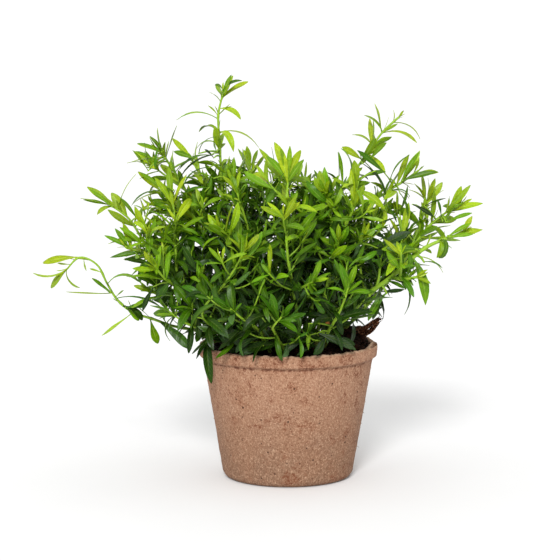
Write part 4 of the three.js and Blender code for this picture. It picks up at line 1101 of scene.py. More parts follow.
def grow_extra_twigs(room, branches):
    """The twigs whose ends are given, each from the place on a stem that is nearest to the place
    some way under its end, and bowed down a little in its middle."""
    walks = walk_along(branches)
    for end in np.array(EXTRA_TWIGS, float):
        which, k, _ = nearest_step(walks, end - UP * TWIG_DROP)
        root = walks[which][1][k]
        middle = 0.5 * (root + end) + TWIG_BOW * (end - root) * [1, 1, -1]
        branches.append(twig_from(room, branches[which], [root, middle, end]))


def inside_outline(end):
    """Whether a twig's end keeps to the clump's outline: a rounded box, less what is over its sloping
    top or under the skirt that widens upwards from the pot."""
    top = TWIG_TOP["height"] - TWIG_TOP["slope"] * abs(end[0] - TWIG_TOP["x"])
    skirt = TWIG_SKIRT["height"] + TWIG_SKIRT["slope"] * (math.hypot(end[0], end[1]) - TWIG_SKIRT["from"])
    skirt = max(skirt, RIGHT_SKIRT["height"] + RIGHT_SKIRT["slope"] * (end[0] - RIGHT_SKIRT["from"]))
    return skirt < end[2] < top and (np.abs((end - TWIG_CENTRE) / TWIG_REACH) ** 3).sum() < 1


def grow_twig(room, branch, s, draw):
    """A twig near s, in the first clear direction that keeps to the outline, or none."""
    path = branch["path"]
    place, along, side = on_path(path, s + TWIG["stagger"] * draw())
    length = drawn(draw, *TWIG["length"]) * (TWIG["longer"] - TWIG["less"] * s / path["length"])
    start = 2 * math.pi * draw()
    others = room.near(place, length + 2 * LOWER_LEAF * LEAF_RATIO)
    for i in range(TWIG["tries"]):
        route = rising_route(place, along, side, start + SHOOT["step"] * i, length, TWIG_BEND)
        if inside_outline(route[-1]):
            balls = stem_balls(lay_path(route, RING_SPACING["twig"]), TWIG["room"], TWIG["room"])
            if room.is_clear(*balls, branch["owner"], ROOT_BALLS, others):
                return [twig_from(room, branch, route)]
    return []


def grow_twigs(room, branches):
    """Short twigs that fill the clump, which the solids leave out: one every few millimetres along
    each stem and side shoot that isn't bare."""
    twigs = []
    for i, branch in enumerate(branches):
        if branch["kind"] == "twig" or branch["bare"]:
            continue
        path = branch["path"]
        draw = draw_from(SEEDS["twig"] + i)
        first = at_share(path, TWIG["from"] if branch["kind"] == "main" else TWIG["from_on_shoot"])
        for s in np.arange(first, path["length"] - TWIG["to"], TWIG["spacing"]):
            twigs += grow_twig(room, branch, s, draw)
    return twigs


def grow_row_of_pairs(room, branch, kind, distances, start, draw):
    """Opposite leaves of a kind at each distance, each pair a quarter turn on from the one below."""
    for j, s in enumerate(distances):
        for k in range(2):
            grow_little_leaf(room, branch, s, start + j * math.pi / 2 + k * math.pi, kind, draw)


def grow_little_pairs(room, branch, start, draw):
    """Pairs along a twig, or on a stem or side shoot pairs between its pairs and low down."""
    first, spacing, length = branch["first"], branch["spacing"], branch["path"]["length"]
    if branch["kind"] == "twig":
        along = np.arange(first, length - PAIR_ENDS["twig"], spacing)
        grow_row_of_pairs(room, branch, TWIG_PAIR, along, start, draw)
        return
    between = np.arange(first + spacing / 2, length - PAIR_ENDS["between"], spacing)
    grow_row_of_pairs(room, branch, BETWEEN, between, start + math.pi / 4, draw)
    if branch["kind"] == "main":
        low = np.arange(at_share(branch["path"], LOW_SHARE), first - PAIR_ENDS["low"], LOW_SPACING)
        grow_row_of_pairs(room, branch, LOW, low, start, draw)


def grow_bunches(room, branch, start, draw):
    """Bunches where leaves meet their stem: whole ones at the pairs, half ones between them, and
    single leaves on a bare stem."""
    first, spacing, length = branch["first"], branch["spacing"], branch["path"]["length"]
    for j, s in enumerate(np.arange(first, length - BUNCH["end"], spacing / 2)):
        count = 1 if branch["bare"] else BUNCH["count"] // (1 + j % 2)
        for k in range(count):
            turn = start + (j // 2 + k) * math.pi + (j // 2) * math.pi / 2
            turn += either_way(draw, BUNCH["wander"])
            grow_little_leaf(room, branch, s + BUNCH["stagger"] * draw(), turn, AXIL, draw)


def grow_buds(room, branch, start, draw):
    """The youngest leaves at a tip: first an outer ring, and then short ones inside it."""
    by_hand = has_tip_by_hand(branch)
    half = BUDS["count"] // (4 if by_hand or branch["kind"] == "twig" else 2)
    for k in range(2 * half):
        kind = BUD if k >= half else BUD_BESIDE if by_hand else BUD_OUTER
        below = BUDS["outer"] if k < half else BUDS["inner"]
        s = branch["path"]["length"] - below - BUDS["stagger"] * draw()
        grow_little_leaf(room, branch, s, start + k * BUDS["turn"], kind, draw)


def grow_more_leaves(room, branches):
    """The finer leaves that the solids leave out: every pair, and then every bunch and bud."""
    starts = [draw_from(SEEDS["pair"] + i)() * math.pi for i in range(len(branches))]
    for i, branch in enumerate(branches):
        if not branch["bare"]:
            grow_little_pairs(room, branch, starts[i], draw_from(SEEDS["between"] + i))
    for i, branch in enumerate(branches):
        twig = branch["kind"] == "twig"
        if not twig:
            grow_bunches(room, branch, starts[i], draw_from(SEEDS["axil"] + i))
        if not (twig and branch["bare"]):
            grow_buds(room, branch, starts[i], draw_from(SEEDS["bud"] + i))


def share_of(value, start, end):
    """How far a value has come from a start to an end, kept between 0 and 1."""
    return min(1.0, max(0.0, (value - start) / (end - start)))


def leaf_age_and_shade(leaf, branch, name, draw):
    """How old a leaf looks: younger towards its stem's tip, younger and lighter high up and out to the
    sides, partly as painted light, and older and darker deep inside the clump and low in its middle,
    partly as painted shade."""
    middle = leaf_point(leaf, AGE_AT)
    at = leaf["s"] / branch["path"]["length"]
    outward = np.linalg.norm((middle - CLUMP_CENTRE) / CLUMP_REACH)
    inside = share_of(outward, *AGE_AND_SHADE_RANGES["inside"])
    high = share_of(middle[2], *AGE_AND_SHADE_RANGES["high"])
    low = share_of(middle[2], *AGE_AND_SHADE_RANGES["low"])
    beside = share_of(abs(middle[0] - CLUMP_CENTRE[0]), *AGE_AND_SHADE_RANGES["beside"])
    age = AGE["foot"] - AGE["along"] * at - AGE["high"] * high - AGE["beside"] * beside
    age += AGE["inside"] * inside * (1 - AGE["less_high"] * high) + AGE["low"] * low * (1 - beside)
    age += either_way(draw, AGE["vary"]) - (0 if branch["kind"] == "main" else AGE["shoot"])
    age = age if leaf["length"] > LITTLE_LENGTH else AGE["little"] * age
    return min(1.0, max(0.0, leaf.get("set_age", age - YOUNGER.get(name, 0))))


def give_form(leaf, name, draw):
    """Draws how a leaf's form varies. A listed leaf is flatter and plainer than the others."""
    blunter = BLUNTER.get(name, 0)
    leaf["chance"] = draw()
    leaf["widest"] = drawn(draw, *FORM["widest"]) + blunter
    leaf["blunt"] = drawn(draw, *FORM["blunt"]) - BLUNTER_POWER * blunter
    leaf["sway"] = either_way(draw, FORM["sway"])
    leaf["twist"] = either_way(draw, FORM["twist"])
    leaf["fold"] = math.radians(drawn(draw, *FORM["fold"]))
    leaf["dry"] = float(leaf.get("set_age") == 1)
    if leaf.get("by_hand"):
        whole = math.floor(leaf["chance"] * CHANCE_TURNS)
        leaf["chance"] -= (1 - BY_HAND["plain"]) * (leaf["chance"] - whole / CHANCE_TURNS)
        leaf["fold"] *= BY_HAND["fold"]
        leaf["twist"] *= BY_HAND["twist"]


def grow_plant():
    """Every stem with its branches and their leaves, each with its age and form."""
    room = Room()
    stems = lay_stems(room)
    branches = list_branches(stems)
    grow_main_leaves(room, branches)
    grow_extra_leaves(room, branches)
    grow_extra_twigs(room, branches)
    branches += grow_twigs(room, branches)
    grow_more_leaves(room, branches)
    draw = draw_from(SEEDS["looks"])
    for branch in branches:
        name = stems[branch["owner"]]["name"]
        for leaf in branch["grown"]:
            leaf["age"] = leaf_age_and_shade(leaf, branch, name, draw)
            give_form(leaf, name, draw)
    return stems, branches


def closed_rings(count, rings, points):
    """Faces of count closed skins, each of rings with so many points and then a first and a last
    point: quads between rings, and a fan of triangles at each end."""
    size = rings * points + 2
    j = np.arange(points)
    after = (j + 1) % points
    i = np.arange(rings - 1)[:, None] * points
    quads = np.stack([i + j, i + after, i + points + after, i + points + j], axis=-1).reshape(-1, 4)
    top = (rings - 1) * points
    first = np.stack([after, j, np.full(points, rings * points)], axis=-1)
    last = np.stack([top + j, top + after, np.full(points, rings * points + 1)], axis=-1)
    shift = np.arange(count)[:, None, None] * size
    quads = (quads[None] + shift).reshape(-1, 4)
    fans = (np.concatenate([first, last])[None] + shift).reshape(-1, 3)
    return quads, fans


def tube_around(centre, side, across, reach, first, last):
    """Points of a skin along a path: each ring is centre plus side and across by the reach in those
    two directions, and the skin is closed by a first and a last point."""
    rings = centre[:, None] + side[:, None] * reach[..., :1] + across[:, None] * reach[..., 1:]
    return np.concatenate([rings.reshape(-1, 3), [first, last]])


def blades(leaves, rings, section):
    """Leaf blades as one block of arrays. Across the blade, each half is folded up by the tangent of
    the fold angle, thin at its margin and keeled under the midrib. Along it, the midrib is the leaf's
    arc with a slight sine of sway, the blade turns by its roll and twist, and its half width is a
    sine of u to a power. Returns the points, and for each its place along and across the blade, its
    face and crease, and the age, chance and dryness of its leaf."""
    get = {key: np.array([leaf[key] for leaf in leaves], float) for key in BLADE_KEYS}
    column = {key: value[:, None] for key, value in get.items()}
    count = len(leaves)
    u = BLADE["start"] + (BLADE["end"] - BLADE["start"]) * np.linspace(0, 1, rings)
    v, rise = np.array(section, float).T
    along, out = column["along"], column["out"]
    across = np.cross(get["along"], get["out"])[:, None]

    def midrib(at):
        ahead, aside = arc(column["angle"], column["bend"], at)
        sway = column["sway"] * np.sin(np.pi * np.clip(at, 0, 1)) * np.clip(at, 0, 1)
        way = along * ahead[..., None] + out * aside[..., None] + across * sway[..., None]
        return column["root"] + way * get["length"][:, None, None]

    def each(first):
        return np.tile(np.concatenate([first, [0, 0]]), (count, 1)).ravel()

    lance = np.sin(np.pi * u ** column["widest"]) ** column["blunt"]
    half = np.maximum(BLADE["neck"] * (1 - BLADE["neck_taper"] * u), 0.5 * column["width"] * lance)
    angle = (column["angle"] + column["bend"] * u)[..., None]
    face = along * np.sin(angle) - out * np.cos(angle)
    roll = (column["roll"] + column["twist"] * (u - BLADE["twist_from"]))[..., None]
    wide = across * np.cos(roll) + face * np.sin(roll)
    normal = face * np.cos(roll) - across * np.sin(roll)
    fold = np.tan(column["fold"]) * np.sin(np.pi * np.minimum(1, u + BLADE["fold_from"])) ** 0.5
    wave = BLADE["wave"] * np.sin(BLADE["waves"] * u + BLADE["wave_shift"] * column["chance"]) * half
    thick = BLADE["thick"] * (1 - BLADE["thinner"] * u)
    lift = (half * fold)[..., None] * np.abs(v) + thick[:, None] * rise + wave[..., None] * v ** 3
    centre = midrib(np.broadcast_to(u, (count, rings)))
    points = centre[:, :, None] + wide[:, :, None] * (half[..., None] * v)[..., None]
    points = (points + normal[:, :, None] * lift[..., None]).reshape(count, -1, 3)
    ends = [midrib(-BLADE["sunk"] / column["length"]), midrib(np.ones((count, 1)))]
    points = np.concatenate([points, *ends], axis=1).reshape(-1, 3)
    along_blade = np.tile(np.concatenate([np.repeat(u, len(v)), [0, 1]]), (count, 1)).ravel()
    crease = np.where(np.abs(v) == 1, 2 + v, np.where((v == 0) & (rise >= 0), 4, 0))
    which = np.repeat(np.arange(count), rings * len(v) + 2)
    return points, {
        "along": along_blade, "across": 0.5 + 0.5 * each(np.tile(v, rings)),
        "under": each(np.tile((rise < 0).astype(float), rings)), "crease": each(np.tile(crease, rings)),
        "age": get["age"][which], "chance": get["chance"][which], "dry": get["dry"][which],
    }


def stem_skin(path, start, end, nodes, squareness, from_soil):
    """A stem's skin: its radius runs evenly from start to end, swells as a bell at each node where
    leaves stand, and is greater towards four ridges by a cosine of four times the angle."""
    steps = max(LEAST_RINGS, round(path["length"] / STEM_STEP))
    s = np.linspace(0, path["length"], steps)
    centre = smooth_place(path, s)
    way = unit(np.gradient(centre, axis=0))
    side = square_to(way, on_path(path, s)[2])
    swell = np.exp(-((s[:, None] - np.array(nodes)[None]) / NODE_REACH) ** 2).sum(1) if nodes else 0 * s
    radius = (start + (end - start) * s / path["length"]) * (1 + NODE_SWELL * np.minimum(1, swell))
    turn = np.linspace(0, 2 * np.pi, STEM_POINTS, endpoint=False)
    reach = radius[:, None] * (1 + squareness * np.cos(4 * turn))
    reach = np.stack([reach * np.cos(turn), reach * np.sin(turn)], axis=-1)
    first = centre[0] - way[0] * STEM_SUNK
    last = centre[-1] + way[-1] * TIP_ROUNDING * end
    points = tube_around(centre, side, np.cross(way, side), reach, first, last)
    share = np.concatenate([np.repeat(s / path["length"], STEM_POINTS), [0, 1]])
    age = (1 - share) ** STEM_GREEN if from_soil else SHOOT_AGE * (1 - share)
    turned = np.concatenate([np.tile(turn / (2 * np.pi), steps), [0, 0]])
    return points, steps, {"along": share * path["length"] / LINES_LENGTH, "across": turned, "age": age}


def branch_parts(branch, girth):
    """The skins of a branch: its stem, its large leaves and its little leaves."""
    path = branch["path"]
    main = branch["kind"] == "main"
    start, end = (girth * radius for radius in STEM_RADII[branch["kind"]])
    nodes = list(np.arange(branch["first"], path["length"] - NODE_END, branch["spacing"]))
    points, steps, values = stem_skin(path, start, end, nodes, SQUARENESS if main else 0.0, main)
    parts = [(points, *closed_rings(1, steps, STEM_POINTS), values, 1)]
    large, little = [], []
    for leaf in branch["grown"]:
        shift = smooth_place(path, leaf["s"])[0] - on_path(path, leaf["s"])[0]
        kind = large if leaf["length"] > LITTLE_LENGTH else little
        kind.append({**leaf, "root": leaf["root"] + shift})
    for leaves, rings, section in ((large, *FULL_BLADE), (little, *LITTLE_BLADE)):
        if leaves:
            points, values = blades(leaves, rings, section)
            parts.append((points, *closed_rings(len(leaves), rings, len(section)), values, 0))
    return parts


def gather(parts):
    """Joins blocks of points, quads, triangles and values into one, with the faces' counts shifted."""
    starts = np.cumsum([0] + [len(points) for points, *_ in parts])
    points = np.concatenate([part[0] for part in parts])
    quads, fans = (
        np.concatenate([part[k] + start for part, start in zip(parts, starts)]) for k in (1, 2)
    )
    slots = np.concatenate([np.full(len(part[k]), part[4]) for k in (1, 2) for part in parts])
    names = sorted({name for part in parts for name in part[3]})
    values = {
        name: np.concatenate([part[3].get(name, np.zeros(len(part[0]))) for part in parts])
        for name in names
    }
    return points, quads, fans, values, slots


def make_piece(name, parts, materials, node):
    """A closed smooth mesh in metres from whole arrays, with a UV map from the values along and
    across, point attributes from the others, and sharp edges along each crease. The piece then rides
    the one body, stands for its node and takes its slot."""
    points, quads, fans, values, slots = gather(parts)
    mesh = bpy.data.meshes.new(name)
    mesh.from_pydata(points * MM, [], [*quads.tolist(), *fans.tolist()], shade_flat=False)
    mesh.polygons.foreach_set("material_index", slots.astype(np.int32))
    mesh.validate()
    for key in sorted(set(values) - {"along", "across", "crease"}):
        layer = mesh.attributes.new(key, "FLOAT", "POINT")
        layer.data.foreach_set("value", values[key].astype(np.float32))
    if "along" in values:
        corners = np.concatenate([quads.ravel(), fans.ravel()])
        flat = np.stack([values["along"], values["across"]], axis=-1)[corners]
        mesh.uv_layers.new(name="surface").data.foreach_set("uv", flat.astype(np.float32).ravel())
    if "crease" in values:
        ends = np.empty(2 * len(mesh.edges), np.int32)
        mesh.edges.foreach_get("vertices", ends)
        first, second = values["crease"][ends].reshape(-1, 2).T
        sharp = mesh.attributes.new("sharp_edge", "BOOLEAN", "EDGE")
        sharp.data.foreach_set("value", (first > 0) & (first == second))
    for material in materials:
        mesh.materials.append(material)
    piece = bpy.data.objects.new(name, mesh)
    bpy.context.scene.collection.objects.link(piece)
    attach(piece, "root")
    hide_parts(node)


def noise(places, size, seed):
    """Smooth noise from -1 to 1: a chance value at each corner of a grid of cells of that size,
    blended by a smooth step between the eight corners round a place."""
    scaled = np.asarray(places, float) / size
    cell = np.floor(scaled).astype(np.int64)
    f = scaled - cell
    f = f * f * (3 - 2 * f)
    total = np.zeros(f.shape[:-1])
    for corner in np.ndindex(2, 2, 2):
        x, y, z = np.moveaxis(cell + np.array(corner), -1, 0)
        mixed = (x * 374761393 + y * 668265263 + z * 1442695041 + seed * 974634777) & 0xFFFFFFFF
        mixed = ((mixed ^ (mixed >> 13)) * 1274126177) & 0xFFFFFFFF
        mixed = ((mixed ^ (mixed >> 16)) * 2246822519) & 0xFFFFFFFF
        value = ((mixed ^ (mixed >> 15)) & 0xFFFF) / 0x7FFF - 1
        share = np.where(np.array(corner) == 1, f, 1 - f).prod(-1)
        total += share * value
    return total


def bumps(places, sizes, seed=0):
    """Noise of several sizes, each times its own height."""
    return sum(height * noise(places, size, seed + i) for i, (size, height) in enumerate(sizes))


def pot_outline():
    """The pot's section from the middle of its base, out, up the wall, over the lip and down inside:
    a flat, a quarter circle, the straight wall, a smooth step out under the lip, the lip's face with
    a slight bulge, half an ellipse over its edge, and the plain inside. Returns radius and height."""
    flat = np.linspace(MIDDLE_RING, 1, POT_RINGS["base"])
    turn = np.linspace(0, np.pi / 2, POT_RINGS["rounding"])
    wall = np.linspace(POT_BASE_ROUNDING, POT_HEIGHT - LIP_HEIGHT - LIP_FOOT, POT_RINGS["wall"])[1:]
    share = np.linspace(0, 1, POT_RINGS["lip"])[1:]
    over = np.linspace(0, np.pi, POT_RINGS["edge"])[1:]
    foot, top, outer = wall[-1], POT_HEIGHT - LIP_EDGE, VISIBLE_LIP_RADIUS
    edge = (outer - (LIP_RADIUS - LIP_STEP - WALL + LIP_EDGE)) / 2
    low = SOIL_EDGE_HEIGHT - INSIDE_DEPTH
    inside = np.linspace(top, low, POT_RINGS["inside"])[1:]
    deep = np.linspace(low, FLOOR, POT_RINGS["inside"])[1:]
    base = wall_radius(POT_BASE_ROUNDING) - POT_BASE_ROUNDING
    step = (outer - wall_radius(foot)) * share * share * (3 - 2 * share)
    parts = [
        (base * flat[:-1], 0 * flat[:-1]),
        (base + POT_BASE_ROUNDING * np.sin(turn), POT_BASE_ROUNDING * (1 - np.cos(turn))),
        (wall_radius(wall), wall),
        (wall_radius(foot) + step, foot + LIP_RISE * share),
        (outer + LIP_BULGE * np.sin(np.pi * share), foot + LIP_RISE + (top - foot - LIP_RISE) * share),
        (outer - edge + edge * np.cos(over), top + LIP_EDGE * np.sin(over)),
        (wall_radius(inside) - WALL + INSIDE_FLARE * (inside - inside[-1]), inside),
        (wall_radius(deep) - WALL, deep),
        ((wall_radius(FLOOR) - WALL) * flat[::-1][1:], FLOOR + 0 * flat[1:]),
    ]
    return np.concatenate([r for r, _ in parts]), np.concatenate([z for _, z in parts])


def pot_points():
    """The pot's outline carried round its axis, then pushed in and out by smooth noise of four sizes.
    The lip's edge is ragged by finer noise, and at its torn end the edge bends out by a bell shape
    round one angle and opens in a hollow."""
    radius, height = pot_outline()
    turn = np.linspace(0, 2 * np.pi, POT_POINTS, endpoint=False)
    r, z = (line[:, None] + 0 * turn for line in (radius, height))
    push = bumps(np.stack([r * np.cos(turn), r * np.sin(turn), z], axis=-1), POT_BUMPS)
    stands = np.clip((z - BASE_SMOOTH["from"]) / BASE_SMOOTH["over"], 0, 1)
    stands *= 1 + LIP_ROUGHER * (z > POT_HEIGHT - LIP_HEIGHT)
    r += push * stands * np.clip(r / POT_BASE_RADIUS, 0, 1)
    below = RAGGED_EDGE["below"]
    near_edge = np.clip((z - (POT_HEIGHT - below)) / below, 0, 1) ** 2
    around = np.stack([LIP_RADIUS * np.cos(turn), LIP_RADIUS * np.sin(turn), 0 * turn], axis=-1)
    z += near_edge * (bumps(around, RAGGED, RAGGED_SEED) - RAGGED_EDGE["lower"])
    off = (turn - math.radians(TORN_END["turn"]) + np.pi) % (2 * np.pi) - np.pi
    bell = np.exp(-(off / math.radians(TORN_END["spread"])) ** 2)
    outside = np.arange(len(radius))[:, None] < np.argmax(height)
    r += np.where(outside, TORN_END["out"], -TORN_END["in"]) * bell * near_edge
    hollow = (radius[:, None] - (VISIBLE_LIP_RADIUS - TORN_END["middle"])) / TORN_END["width"]
    z += bell * near_edge * (TORN_END["up"] - TORN_END["deep"] * np.exp(-hollow ** 2))
    return np.stack([r * np.cos(turn), r * np.sin(turn), z], axis=-1)


def thin_tubes(root, way, length, girth, bend, taper, sides):
    """Many thin tubes as one block: each runs from its root along its way, bends sideways by a square
    of its length, and narrows by its taper to a point past its end."""
    share = np.linspace(0, 1, len(taper))[:, None]
    centre = root[:, None] + (way * length)[:, None] * share + bend[:, None] * share ** 2
    one = unit(np.cross(way, UP + 0.01))
    two = np.cross(way, one)
    turn = np.linspace(0, 2 * np.pi, sides, endpoint=False)[:, None]
    around = one[:, None] * np.cos(turn) + two[:, None] * np.sin(turn)
    rings = centre[:, :, None] + around[:, None] * (girth[..., None] * np.array(taper)[:, None])[..., None]
    ends = np.stack([root - way * TUBE_SUNK, centre[:, -1] + way * girth], axis=1)
    points = np.concatenate([rings.reshape(len(root), -1, 3), ends], axis=1).reshape(-1, 3)
    return (points, *closed_rings(len(root), len(taper), sides), {}, 0)


def fibre_ends(points, count):
    """Short loose ends of fibre that stand off the pot's skin at a low angle and bend, most of them
    back to it."""
    chance = np.random.default_rng(SEEDS["fibre"])
    outer = points[OUTER_RINGS]
    i = chance.integers(2, len(outer) - 2, count)
    j = chance.integers(0, outer.shape[1], count)
    out = unit(outer[i, j] * [1, 1, 0])
    lean = chance.uniform(0, 2 * np.pi, (count, 1))
    way = unit(np.cross(UP, out)) * np.cos(lean) + UP * np.sin(lean)
    way = unit(way + out * chance.uniform(*FIBRE["up"], (count, 1)))
    length = chance.uniform(*FIBRE["length"], (count, 1))
    bend = out * length * chance.uniform(*FIBRE["bend"], (count, 1))
    girth = chance.uniform(*FIBRE["girth"], (count, 1))
    root = outer[i, j] - FIBRE["sunk"] * out
    return thin_tubes(root, way, length, girth, bend, FIBRE["taper"], FIBRE["points"])


def soil_points():
    """The soil: its straight side up from the pot's floor, then its lumpy top as rings that close in
    on the middle, each point at the mound's height plus noise of three sizes."""
    edge = wall_radius(SOIL_EDGE_HEIGHT) - WALL - 2 * GAP
    share = np.linspace(1, 0, SOIL_TOP_RINGS, endpoint=False)[:, None]
    turn = np.linspace(0, 2 * np.pi, SOIL_POINTS, endpoint=False)
    side = np.linspace(SOIL_SIDE["from"], SOIL_SIDE["to"], SOIL_SIDE["rings"])[:, None] + 0 * turn
    side_z = FLOOR + GAP + (SOIL_EDGE_HEIGHT - SOIL_SIDE["below"] - FLOOR) * side
    side_r = wall_radius(side_z) - WALL - 2 * GAP
    r = np.concatenate([side_r, edge * share + 0 * turn])
    x, y = r * np.cos(turn), r * np.sin(turn)
    z = np.concatenate([side_z, soil_height(x[len(side):], y[len(side):])])
    place = np.stack([x, y, z], axis=-1)
    rough = sum(height * np.abs(noise(place, size, seed)) for seed, (size, height) in enumerate(SOIL_BUMPS))
    fade = np.clip(SOIL_FADE["steep"] * (1 - share ** SOIL_FADE["power"]) + SOIL_FADE["edge"], 0, 1)
    place[..., 2] += (rough - SOIL_LOWER) * np.concatenate([0 * side, fade + 0 * turn])
    return place


def crumbs():
    """Crumbs of peat on the soil: balls of a few rings, each stretched in its own way, with a lumpy
    skin from noise. Most lie anywhere on the soil, and the others, which are larger, round the clump
    by the stub."""
    chance = np.random.default_rng(SEEDS["crumbs"])
    count, rings, points = CRUMB["count"], CRUMB["rings"], CRUMB["points"]
    near = np.arange(count) < count // 3
    reach = CRUMB["reach"] * np.sqrt(chance.uniform(0, 1, count))
    turn = chance.uniform(0, 2 * np.pi, count)
    x = np.where(near, CLUMP["x"] + chance.normal(*NEAR_CRUMB["x"], count), reach * np.cos(turn))
    y = np.where(near, CLUMP["y"] + chance.normal(*NEAR_CRUMB["y"], count), reach * np.sin(turn))
    inside = CRUMB["edge"] / np.maximum(CRUMB["edge"], np.hypot(x, y))
    x, y = x * inside, y * inside
    least, more = (np.where(near, *pair) for pair in zip(NEAR_CRUMB["size"], FAR_CRUMB_SIZE))
    size = least + more * chance.uniform(0, 1, count) ** CRUMB["power"]
    centre = np.stack([x, y, soil_height(x, y) + CRUMB["rise"] * size], axis=-1)
    rise = (np.linspace(-1, 1, rings + 2)[1:-1] * np.pi / 2)[:, None]
    around = np.linspace(0, 2 * np.pi, points, endpoint=False)
    ball = [np.cos(rise) * np.cos(around), np.cos(rise) * np.sin(around), np.sin(rise) + 0 * around]
    ball = np.concatenate([np.stack(ball, axis=-1).reshape(-1, 3), [[0, 0, -1], [0, 0, 1]]])
    stretch = chance.uniform(*CRUMB["stretch"], (count, 1, 3))
    apart = CRUMB["apart"] * np.arange(count)[:, None, None]
    lumpy = 1 + CRUMB["lump"] * noise(ball[None] + apart, CRUMB["lump_size"], CRUMB["seed"])[..., None]
    skins = ball[None] * stretch * lumpy * size[:, None, None] + centre[:, None]
    return (skins.reshape(-1, 3), *closed_rings(count, rings, points), {}, 0)


def strand_part(path, order, long, thick, off, apart):
    """One strand of the stub: a tube beside its path that parts from it with the cube of its length,
    tapers with the square, and has deep ridges by noise that is stretched along it."""
    steps, around = STRAND["rings"], STRAND["points"]
    share = np.linspace(0, 1, steps)
    turn = np.linspace(0, 2 * np.pi, around, endpoint=False)
    ring = np.stack([np.cos(turn), np.sin(turn)], axis=-1)
    s = share * path["length"] * long
    way = unit(np.gradient(smooth_place(path, s), axis=0))
    side = square_to(way, unit(on_path(path, s)[2]))
    across = np.cross(way, side)
    beside = turned_round(side, across, order * STRAND["turn"])
    centre = smooth_place(path, s) + beside * (off + apart * share ** 3)[:, None]
    grain = [STRAND["across"] * ring[:, 0], STRAND["across"] * ring[:, 1], STRAND["along"] * s[:, None]]
    grain = np.stack(np.broadcast_arrays(*grain), axis=-1)
    ridges = noise(grain + RIDGES["apart"] * order, RIDGES["size"], RIDGES["seed"])
    ridges += noise(grain * RIDGES["stretch"], RIDGES["fine"], RIDGES["seed"] + 1)
    radius = thick * (1 - STRAND["taper"] * share ** 2)
    reach = (radius[:, None] * (1 + RIDGES["height"] * ridges))[..., None] * ring
    points = tube_around(centre, side, across, reach, centre[0], centre[-1] + way[-1])
    return (points, *closed_rings(1, steps, around), {}, 0)


def stub_parts():
    """The dry stub: thick strands along two paths, thinner ones beside them that part from them near
    the top, and splinters along the outer path."""
    paths = [stem_path(points[0], points[1:], RING_SPACING["placed"]) for points in STUB_PATHS]
    parts = [strand_part(paths[which], i, *strand) for i, (which, *strand) in enumerate(STRANDS)]
    chance = np.random.default_rng(SEEDS["splinters"])
    one = (SPLINTER["count"], 1)
    s = chance.uniform(*SPLINTER["at"], SPLINTER["count"]) * paths[1]["length"]
    root, along, across = on_path(paths[1], s)
    lean = chance.uniform(0, 2 * np.pi, one)
    out = across * np.cos(lean) + np.cross(along, across) * np.sin(lean)
    way = along * chance.uniform(*SPLINTER["along"], one)
    way = unit(way + out * chance.uniform(*SPLINTER["out"], one))
    length, girth = (chance.uniform(*SPLINTER[key], one) for key in ("length", "girth"))
    taper, points = SPLINTER["taper"], SPLINTER["points"]
    return [*parts, thin_tubes(root + out, way, length, girth, 0 * out, taper, points)]


def linear(code):
    """An sRGB hex colour as linear values: a straight part near black and a power of 2.4 above."""
    parts = [int(code[i:i + 2], 16) / 255 for i in (1, 3, 5)]
    return [c / 12.92 if c <= 0.04045 else ((c + 0.055) / 1.055) ** 2.4 for c in parts]


def colour(code):
    """A hex colour with its alpha, for a shader's socket."""
    return (*linear(code), 1.0)


def fits(size):
    """The texture scale at which a pattern's spots are so many millimetres apart."""
    return 1 / (size * MM)


def add(tree, kind, inputs=(), **settings):
    """Adds a node with its own settings, and gives each of its inputs a value or a link. A node that
    is given for an input stands for its first output in use."""
    made = tree.nodes.new(kind)
    for key, value in settings.items():
        setattr(made, key, value)
    for key, value in dict(inputs).items():
        if isinstance(value, bpy.types.Node):
            value = next(socket for socket in value.outputs if socket.enabled)
        if isinstance(value, bpy.types.NodeSocket):
            tree.links.new(value, made.inputs[key])
        else:
            made.inputs[key].default_value = value
    return made


def coated(node, base, coats):
    """Lays colours over a base, one after the other. Each coat has a pattern, the values at which it
    starts and is full, how much it covers there, and its colour. A coat whose pattern runs down
    starts at the greater value."""
    for pattern, start, full, most, tint in coats:
        share = node(RANGE, {0: pattern, 1: start, 2: full, 4: most}, interpolation_type="SMOOTHSTEP")
        tint = colour(tint) if isinstance(tint, str) else tint
        base = node(MIX, {0: share, 6: base, 7: tint}, data_type="RGBA")
    return base


def new_material(name):
    """An empty material, the function that adds a node to it, and the places on the object."""
    material = bpy.data.materials.new(name)
    material.use_nodes = True
    material.node_tree.nodes.clear()
    node = partial(add, material.node_tree)
    return material, node, node(COORDINATES).outputs["Object"]


